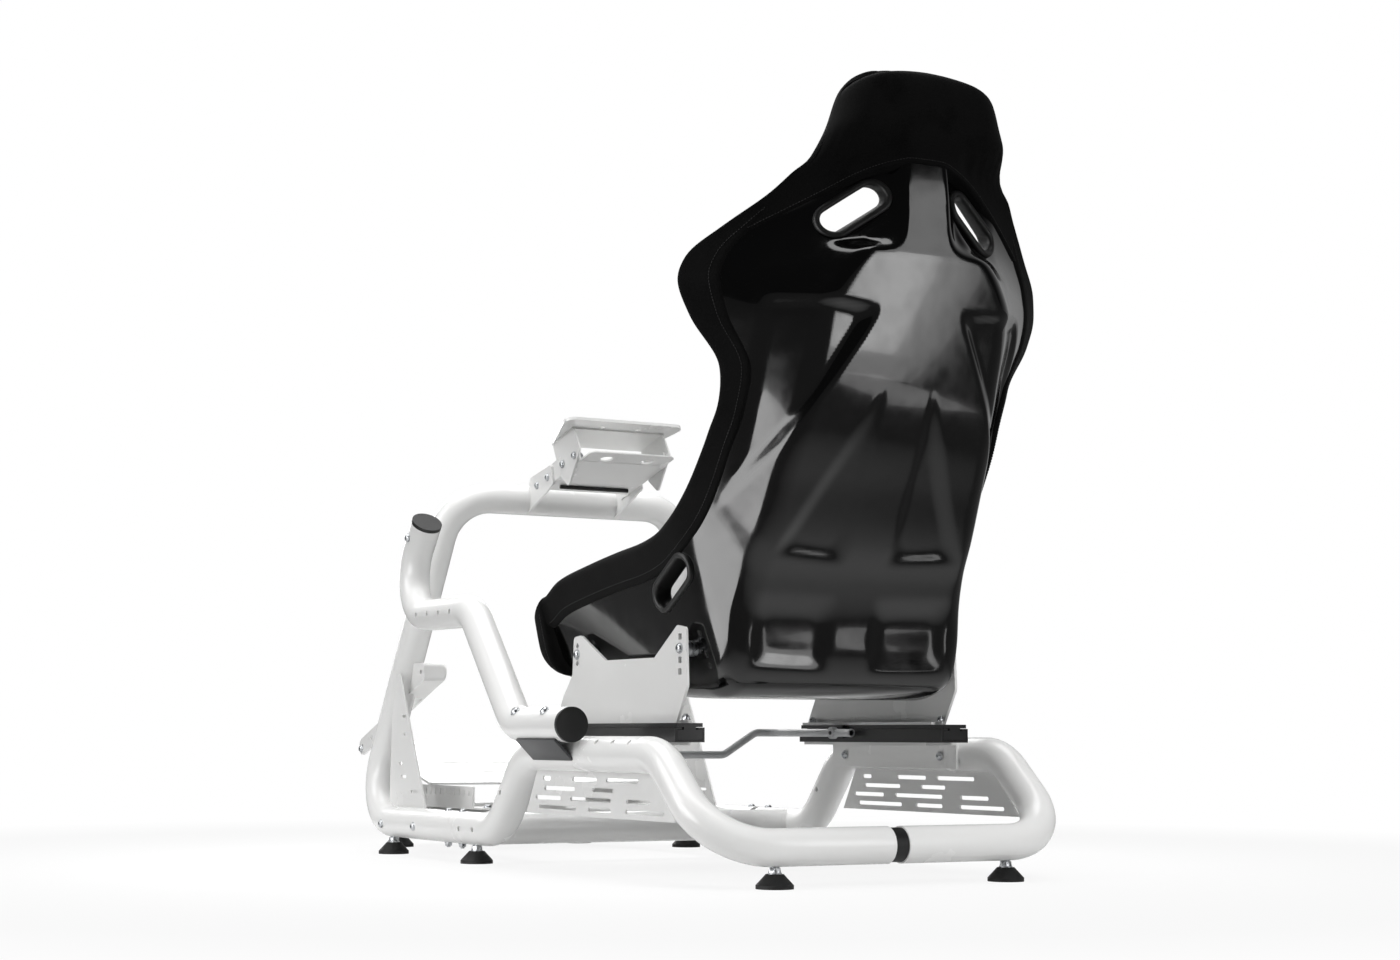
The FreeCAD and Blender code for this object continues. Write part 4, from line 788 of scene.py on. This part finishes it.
def surface_height(tree, centre, axis, start):
    """How far along the slot's axis from its centre a ray from outside meets the surface, in millimetres."""
    hit = tree.ray_cast(spot(*(centre + axis * start)), axis * (-1 if start > 0 else 1))
    return (hit[0] - spot(*centre)).dot(axis) / MM if hit[0] else None


def steady(values, outline):
    """Heights round a slot as a stiff rim would take them: near the tilted plane that fits the heights found."""
    known = [v for v in values if v is not None]
    heights = np.array([np.median(known) if v is None else v for v in values])
    plane = np.array([(1, p[0], p[1]) for p, _ in outline])
    for _ in range(2):
        fitted = plane @ np.linalg.lstsq(plane, heights, rcond=None)[0]
        heights = np.clip(heights, fitted - RIM_SLACK, fitted + RIM_SLACK)
    return heights * RIM_FOLLOW + fitted * (1 - RIM_FOLLOW)


trims = []
for name, slot in SLOTS.items():
    centre, axis, way, side = slot_axes(slot)
    ring = slot_ring(slot[3], slot[4])

    def beside(p, d, off):
        return centre + way * (p[0] + off * d[0]) + side * (p[1] + off * d[1])

    levels = [steady([surface_height(tree, beside(p, d, RIM_MIDDLE), axis, start) for p, d in ring], ring)
              for tree, start in zip(trees, (-RAY_START, RAY_START))]
    points = [beside(p, d, r) + axis * (levels[face][k] + (lift if face else -lift))
              for r, face, lift in TRIM_PROFILE for k, (p, d) in enumerate(ring)]
    n = len(ring)
    grid = grid_faces(len(TRIM_PROFILE), n, closed=True)
    last = (len(TRIM_PROFILE) - 1) * n
    grid += [(last + c, last + (c + 1) % n, (c + 1) % n, c) for c in range(n)]
    trim = outward(mesh_piece("belt_trim_" + name, [tuple(p) for p in points], grid, "cap_black"))
    trims.append(divided(trim))
cut_slots(shell)
cut_slots(cover)
print("slots cut; trims:", [t.name for t in trims])

# %% [markdown]
# ## Stitches
# Every seam of the cover is top-stitched on both sides, and the hems have one row. A stitch is a thread that dips into
# the cloth at both ends. Lines are taken from the cover's own rows and columns and laid on its surface, and a node
# tree sets one small stitch every few millimetres along them.

# %% Lines of thread on the cover
STITCH_OFF, STITCH_STEP, THREAD_LIFT, SLOT_CLEAR = 3.5, 4.4, 0.15, (12, 13)
cover_tree = BVHTree.FromObject(cover, bpy.context.evaluated_depsgraph_get())
thread_points, thread_edges = [], []


def lay_thread(line, beside):
    """Adds a line of thread next to a seam, on the side of the points given, with gaps at the belt slots."""
    step = beside - line
    line = line + step / np.linalg.norm(step, axis=1, keepdims=True) * STITCH_OFF * MM
    clear = near_slot(line / MM + ORIGIN, *SLOT_CLEAR) < 0.5
    for i, point in enumerate(line):
        where, normal, _, _ = cover_tree.find_nearest(Vector(point))
        thread_points.append(where + normal * THREAD_LIFT * MM)
        if i and clear[i] and clear[i - 1]:
            thread_edges.append((len(thread_points) - 2, len(thread_points) - 1))


around = seam_points.shape[1]
across = list(range(around - seam_column, around)) + list(range(seam_column + 1))
for column in (seam_column, around - seam_column):
    for side in (-1, 1):
        run = seam_points[PINNED_ROWS:seam_rows[-2] + 1]
        lay_thread(run[:, column], run[:, column + side])
for row in seam_rows:
    for side in (-1, 1):
        lay_thread(seam_points[row, across], seam_points[row + side, across])
hem_columns = list(range(under_first, around - under_first + 1))
for edge, way in ((LIP_HEM, -1), (HEAD_HEM, 1)):
    row = int(np.argmin(np.abs(rows - edge))) + 2 * way
    lay_thread(seam_points[row, hem_columns], seam_points[row + way, hem_columns])
bare = np.flatnonzero(hidden)
for column, side in ((tuck - 2, -1), (around - tuck + 2, 1)):
    lay_thread(seam_points[bare, column], seam_points[bare, column + side])
print("thread lines:", len(thread_points), "points")

# %% Stitch them with a node tree
STITCH_SHAPE = ((-1.7, 0.15), (-1.2, 0.5), (0, 0.62), (1.2, 0.5), (1.7, 0.15))
STITCH_SIDES, STITCH_SEED = 6, 7


def node_group(name, sockets):
    """A Geometry Nodes tree with named inputs and one geometry output."""
    tree = bpy.data.node_groups.new(name, "GeometryNodeTree")
    tree.interface.new_socket("Geometry", in_out="INPUT", socket_type="NodeSocketGeometry")
    for label, kind in sockets:
        tree.interface.new_socket(label, in_out="INPUT", socket_type=kind)
    tree.interface.new_socket("Geometry", in_out="OUTPUT", socket_type="NodeSocketGeometry")
    return tree, add(tree, "NodeGroupInput"), add(tree, "NodeGroupOutput")


def use_tree(piece, tree, values):
    """Runs a tree on a piece and keeps the result as its plain mesh."""
    made = piece.modifiers.new(tree.name, "NODES")
    made.node_group = tree
    sockets = {s.name: s.identifier for s in tree.interface.items_tree if s.in_out == "INPUT"}
    for label, value in values.items():
        made[sockets[label]] = value
    return baked(piece)


def set_copies(tree, result, points, pattern, turn, scale, finish_socket):
    """Ends a tree: copies on points, made real and given a finish."""
    copies = add(tree, "GeometryNodeInstanceOnPoints", {}, {
        "Points": points, "Instance": pattern, "Rotation": turn, "Scale": scale})
    real = add(tree, "GeometryNodeRealizeInstances", {}, {"Geometry": copies.outputs["Instances"]})
    painted = add(tree, "GeometryNodeSetMaterial", {}, {"Geometry": real.outputs["Geometry"],
                                                        "Material": finish_socket})
    tree.links.new(painted.outputs["Geometry"], result.inputs["Geometry"])


seam_tree, given, result = node_group("stitches_along_seams", (
    ("Stitch", "NodeSocketObject"), ("Step", "NodeSocketFloat"), ("Seed", "NodeSocketInt"),
    ("Finish", "NodeSocketMaterial")))
pattern = add(seam_tree, "GeometryNodeObjectInfo", {}, {"Object": given.outputs["Stitch"]})
lines = add(seam_tree, "GeometryNodeMeshToCurve", {}, {"Mesh": given.outputs["Geometry"]})
marks = add(seam_tree, "GeometryNodeCurveToPoints", {"mode": "LENGTH"}, {
    "Curve": lines.outputs["Curve"], "Length": given.outputs["Step"]})
aligned = add(seam_tree, "FunctionNodeAlignRotationToVector", {"axis": "X"}, {"Vector": marks.outputs["Tangent"]})
uneven = add(seam_tree, "FunctionNodeRandomValue", {"data_type": "FLOAT"}, {
    "Min": 0.9, "Max": 1.08, "Seed": given.outputs["Seed"]})
set_copies(seam_tree, result, marks.outputs["Points"], pattern.outputs["Geometry"], aligned.outputs["Rotation"],
           uneven.outputs["Value"], given.outputs["Finish"])
turns = np.linspace(0, 2 * math.pi, STITCH_SIDES, endpoint=False)
thread = bpy.data.meshes.new("stitch_pattern")
thread.from_pydata([(x * MM, r * math.cos(a) * MM, r * math.sin(a) * MM) for x, r in STITCH_SHAPE for a in turns], [],
                   grid_faces(len(STITCH_SHAPE), STITCH_SIDES, closed=True))
stitch = outward(put("stitch_pattern", thread))
seams = bpy.data.meshes.new("cover_stitches")
seams.from_pydata(thread_points, thread_edges, [])
stitches = put("cover_stitches", seams)
FINISH["thread"] = moulded("black_polyester_thread", "#141414", "#1F1F1F", 0.7, 0.8, 0.05)
use_tree(stitches, seam_tree, {"Stitch": stitch, "Step": STITCH_STEP * MM, "Seed": STITCH_SEED,
                               "Finish": FINISH["thread"]})
bpy.data.objects.remove(stitch)
print("stitch triangles", triangles(stitches))

# %% Put the seat together
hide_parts("seat_shell")
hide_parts("seat_upholstery")
for piece in [shell, cover] + trims:
    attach(piece, "seat")
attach(stitches, "seat")
print("seat pieces:", 2 + len(trims))

# %% [markdown]
# ## The arm's saddle
# The side arm lies on the hump of the frame, and a folded plate closes the gap between the two tubes. It is open at
# its ends, where the space behind it is dark, and one web stiffens it. The CAD block stands for it in collisions.

# %% Fold the saddle plate
PLATE_SECTION = ((-333, 190), (-304, 161), (-301, 164), (-330, 193))
WEB_SECTION = ((-330, 192), (-303, 164), (-298, 187), (-312, 189))
SADDLE_ENDS, WEB_ENDS, EDGE_WIDTH = (354, 481), (415, 419), 0.7


def prism(section, ends):
    """Points and faces of a section in X and Z that runs between two values of Y."""
    n = len(section)
    points = [(x, y, z) for y in ends for x, z in section]
    sides = [(i, (i + 1) % n, n + (i + 1) % n, n + i) for i in range(n)]
    return points, sides + [tuple(range(n)), tuple(range(2 * n - 1, n - 1, -1))]


plate_points, plate_faces = prism(PLATE_SECTION, SADDLE_ENDS)
web_points, web_faces = prism(WEB_SECTION, WEB_ENDS)
web_faces = [tuple(i + len(plate_points) for i in f) for f in web_faces]
saddle = outward(mesh_piece("saddle_plate", plate_points + web_points, plate_faces + web_faces, "saddle_grey"))
edges = saddle.modifiers.new("edges", "BEVEL")
edges.width, edges.segments, edges.limit_method = EDGE_WIDTH * MM, 2, "ANGLE"
baked(saddle)
saddle.data.set_sharp_from_angle(angle=math.radians(40))
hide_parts("arm_saddle")
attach(saddle, "frame")
print("saddle length", SADDLE_ENDS[1] - SADDLE_ENDS[0], "mm")

# %% [markdown]
# ## The deck's apron and rod
# The floor of the tilting cradle runs on backwards past its walls as an apron with two round holes, and a black rod
# runs across below it, near the pivot. The apron is drawn as a flat curve with its holes, which Blender fills and
# thickens, and is then turned to the deck's slope.

# %% Apron of the cradle
DECK_SLOPE, PIVOT = math.radians(14.8), (939, 616)
APRON_HALF, APRON_ENDS, APRON_DROP, APRON_HOLES, HOLE_RADIUS = 78, (146, 192), -11.6, ((-38, 166), (38, 166)), 11
SHEET_MM, SHEET_EDGE, CORNER_CUT = 3, 0.4, 8


def closed_line(curve, points):
    """Adds a closed straight-sided outline to a flat curve."""
    line = curve.splines.new("POLY")
    line.points.add(len(points) - 1)
    for made, (x, y) in zip(line.points, points):
        made.co = (x * MM, y * MM, 0, 1)
    line.use_cyclic_u = True


flat_curve = bpy.data.curves.new("apron_outline", "CURVE")
flat_curve.dimensions, flat_curve.fill_mode = "2D", "BOTH"
flat_curve.extrude, flat_curve.bevel_depth = (SHEET_MM / 2 - SHEET_EDGE) * MM, SHEET_EDGE * MM
low, high = APRON_ENDS
closed_line(flat_curve, ((-APRON_HALF, low), (APRON_HALF, low), (APRON_HALF, high - CORNER_CUT),
                         (APRON_HALF - CORNER_CUT, high), (CORNER_CUT - APRON_HALF, high),
                         (-APRON_HALF, high - CORNER_CUT)))
for x, along in APRON_HOLES:
    closed_line(flat_curve, [(x + HOLE_RADIUS * math.cos(a), along + HOLE_RADIUS * math.sin(a))
                             for a in np.linspace(0, 2 * math.pi, 32, endpoint=False)])
holder = put("apron_outline", flat_curve)
apron_mesh = bpy.data.meshes.new_from_object(holder.evaluated_get(bpy.context.evaluated_depsgraph_get()))
bpy.data.objects.remove(holder)
back = Vector((0, -math.cos(DECK_SLOPE), math.sin(DECK_SLOPE)))
top = Vector((0, math.sin(DECK_SLOPE), math.cos(DECK_SLOPE)))
to_deck = Matrix((Vector((1, 0, 0)), back, top)).transposed().to_4x4()
apron_mesh.transform(Matrix.Translation(spot(0, *PIVOT) + top * (APRON_DROP + SHEET_MM / 2) * MM) @ to_deck)
apron = put("cradle_apron", apron_mesh)
apron_mesh.materials.clear()
apron_mesh.materials.append(FINISH["frame_white"])
outward(apron, 0.01)
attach(apron, "wheel_deck")
print("apron faces", len(apron_mesh.polygons))


# %% Rods: under the cradle, and the ends of the release bar
def turned_along(name, path, radii, slot, sides=20):
    """A round piece whose centre line and radius are given point by point, closed at both ends."""
    path = np.array(path, float)
    ways = np.gradient(path, axis=0)
    ways /= np.linalg.norm(ways, axis=1, keepdims=True)
    across_way = np.cross(ways, (0.31, 0.17, 0.93))
    across_way /= np.linalg.norm(across_way, axis=1, keepdims=True)
    third = np.cross(ways, across_way)
    turns = np.linspace(0, 2 * math.pi, sides, endpoint=False)
    points = [c + r * (math.cos(a) * u + math.sin(a) * v) for c, r, u, v in zip(path, radii, across_way, third)
              for a in turns]
    n = len(path)
    ends = [tuple(range(sides)), tuple((n - 1) * sides + k for k in range(sides))]
    piece = outward(mesh_piece(name, points, grid_faces(n, sides, closed=True) + ends, slot))
    piece.data.set_sharp_from_angle(angle=math.radians(35))
    return piece


ROD_OUTLINE, ROD_PLACE = ((-62, 2), (-61.6, 3.2), (65.6, 3.2), (66, 2)), (898, 611.2)
rod = turned_along("cradle_rod", [(x, *ROD_PLACE) for x, _ in ROD_OUTLINE], [r for _, r in ROD_OUTLINE], "cap_black")
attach(rod, "wheel_deck")
BAR_END_X, BAR_END_Z = 186, 202
BAR_END = ((428, 5.2), (427.8, 6), (392, 6), (390.6, 6.4), (388, 6.4), (387, 5.6), (387, 4.2), (396, 4.2),
           (396.1, 0.2))
ends = []
for label, sign in SIDES:
    ends.append(turned_along("bar_end_" + label, [(sign * BAR_END_X, y, BAR_END_Z) for y, _ in BAR_END],
                             [r for _, r in BAR_END], "handle_grey"))
    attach(ends[-1], "release_handle")
print("rods:", rod.name, [e.name for e in ends])

# %% [markdown]
# ## Bolts, nuts and washers
# Everything on this frame is bolted, so there are dozens of button-head bolts and a few hex nuts. One of each is
# turned as a mesh: a dome with a hexagonal socket, on a washer, or a six-sided nut with the bolt's end. A node tree
# sets copies on points that carry a direction and a size, so a list of places is all that a new bolt needs.

# %% Turn one bolt and one nut
TURNS = 24
SOCKET = ((2.9, 5.5), (2.9, 2.5))
BOLT_PROFILE = ((8.2, 0), (8.2, 1.2), (7.9, 1.5), (7.1, 1.5), (6.9, 2.2), (6.3, 3.6), (5.0, 4.9), (3.3, 5.5),
                (2.6, 5.5)) + SOCKET
NUT_PROFILE = ((8.2, 0), (8.2, 1.2), (7.9, 1.5), (7.4, 1.6), (7.4, 6.6), (6.6, 7.4), (4.2, 7.4), (3.9, 9.6),
               (3.3, 10.2))


def turned(name, profile, six_sided):
    """A fastener about the Z axis: an outline of radius and height, turned, with a hexagon where it is gripped."""
    work = bmesh.new()
    loops = []
    for radius, height in profile:
        loop = []
        for k in range(TURNS):
            a = 2 * math.pi * k / TURNS
            flat = math.cos(math.pi / 6) / math.cos((a % (math.pi / 3)) - math.pi / 6)
            grip = flat if (radius, height) in six_sided else 1.0
            loop.append(work.verts.new((radius * grip * math.cos(a), radius * grip * math.sin(a), height)))
        loops.append(loop)
    for low, high in zip(loops, loops[1:]):
        for k in range(TURNS):
            work.faces.new((low[k], low[(k + 1) % TURNS], high[(k + 1) % TURNS], high[k]))
    work.faces.new(loops[-1])
    work.faces.new(loops[0][::-1])
    bmesh.ops.recalc_face_normals(work, faces=work.faces)
    bmesh.ops.scale(work, vec=(MM, MM, MM), verts=work.verts)
    mesh = bpy.data.meshes.new(name)
    work.to_mesh(mesh)
    work.free()
    mesh.set_sharp_from_angle(angle=math.radians(35))
    return put(name, mesh)


bolt = turned("bolt_pattern", BOLT_PROFILE, SOCKET)
nut = turned("nut_pattern", NUT_PROFILE, NUT_PROFILE[4:6])
print("faces of a bolt and a nut:", len(bolt.data.polygons), len(nut.data.polygons))


# %% A node tree that sets fasteners on points
fastener_tree, given, result = node_group("fasteners_on_points", (("Fastener", "NodeSocketObject"),
                                          ("Finish", "NodeSocketMaterial")))
pattern = add(fastener_tree, "GeometryNodeObjectInfo", {}, {"Object": given.outputs["Fastener"]})
facing = add(fastener_tree, "GeometryNodeInputNamedAttribute", {"data_type": "FLOAT_VECTOR"}, {"Name": "facing"})
gauge = add(fastener_tree, "GeometryNodeInputNamedAttribute", {"data_type": "FLOAT"}, {"Name": "gauge"})
aligned = add(fastener_tree, "FunctionNodeAlignRotationToVector", {"axis": "Z"}, {
    "Vector": facing.outputs["Attribute"]})
set_copies(fastener_tree, result, given.outputs["Geometry"], pattern.outputs["Geometry"],
           aligned.outputs["Rotation"], gauge.outputs["Attribute"], given.outputs["Finish"])


def set_fasteners(name, pattern_piece, places, body, slot="zinc"):
    """Fasteners at places: a point in millimetres, the direction that the head faces, and a gauge."""
    mesh = bpy.data.meshes.new(name)
    mesh.from_pydata([tuple(spot(*place)) for place, _, _ in places], [], [])
    ways = mesh.attributes.new("facing", "FLOAT_VECTOR", "POINT")
    ways.data.foreach_set("vector", [c for _, way, _ in places for c in Vector(way).normalized()])
    mesh.attributes.new("gauge", "FLOAT", "POINT").data.foreach_set("value", [g for _, _, g in places])
    piece = use_tree(put(name, mesh), fastener_tree, {"Fastener": pattern_piece, "Finish": FINISH[slot]})
    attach(piece, body)


# %% [markdown]
# Places come from the picture and from the flat faces of the frame's own pieces: each head stands on the face that
# it clamps, and looks straight out of it.

# %% Set the bolts
UP, DOWN, ACROSS_ARM = (0, 0, 1), (0, 0, -1), (-0.65, 0, 0.76)
TUBE_TOP, TUBE_LOW, SUNK, FOOT_TOP, CRADLE_INSIDE = 78, 28, 0.6, 19, 77.7
DECK_HOLES = (PIVOT, (899, 626), (842, 643), (799, 653))
FEET = ((185, 0), (279, 733), (279, 1072), (176, 1300))


def face(node, side, axis=0):
    """The coordinate of a node's outermost face, in millimetres of the seat's frame."""
    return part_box(node)[1 if side > 0 else 0][axis] / MM + ORIGIN[axis]


frame_bolts, frame_nuts, seat_bolts, seat_nuts, deck_bolts, deck_nuts = ([] for _ in range(6))
for label, sign in SIDES:
    out, inward = (sign, 0, 0), (-sign, 0, 0)
    bracket = face("seat_bracket_" + label, sign)
    seat_bolts += [((bracket, y, 316), out, 0.95) for y in (185, 500)]
    seat_nuts += [((sign * 212, y, face("seat_bracket_" + label, 1, 2) - 129), UP, 0.8) for y in (190, 540)]
    frame_bolts += [((sign * 248, y, 168), inward, 0.85) for y in (244, 502)]
    ear = face("deck_ear_" + label, sign)
    frame_bolts += [((ear, y, z), out, 0.8) for y, z in DECK_HOLES[:2]]
    flank = face("deck_bracket", sign)
    deck_bolts += [((flank, y, z), out, 0.8) for y, z in DECK_HOLES[2:]]
    deck_nuts += [((sign * CRADLE_INSIDE, y, z), inward, 0.75) for y, z in DECK_HOLES]
    frame_bolts += [((sign * 279, y, TUBE_TOP - SUNK), UP, 0.8) for y in (788, 843)]
    frame_nuts += [((sign * 279, y, TUBE_LOW + SUNK), DOWN, 0.8) for y in (788, 843)]
    frame_bolts += [((sign * 303.6, y, 50), out, 0.85) for y in (930, 1068)]
    strut = face("pedal_strut_" + label, sign)
    frame_bolts += [((strut, y, z), out, 0.85) for y, z in ((1392, 172), (1031, 305))]
    frame_bolts.append(((sign * 176, 922, 78.5), UP, 0.95))
    frame_nuts += [((sign * x, y, FOOT_TOP), UP, 1.15) for x, y in FEET]
frame_bolts += [((-330.2, y, 230.9), ACROSS_ARM, 0.95) for y in (390, 488)]
frame_bolts.append(((-309.6, 957, 519), (-1, 0, 0), 0.9))
for name, pattern_piece, places, body in (
        ("frame_bolts", bolt, frame_bolts, "frame"), ("frame_nuts", nut, frame_nuts, "frame"),
        ("seat_bolts", bolt, seat_bolts, "seat"), ("seat_nuts", nut, seat_nuts, "seat"),
        ("deck_bolts", bolt, deck_bolts, "wheel_deck"), ("deck_nuts", nut, deck_nuts, "wheel_deck")):
    set_fasteners(name, pattern_piece, places, body)
for pattern_piece in (bolt, nut):
    bpy.data.objects.remove(pattern_piece)
print("fasteners:", sum(map(len, (frame_bolts, frame_nuts, seat_bolts, seat_nuts, deck_bolts, deck_nuts))))
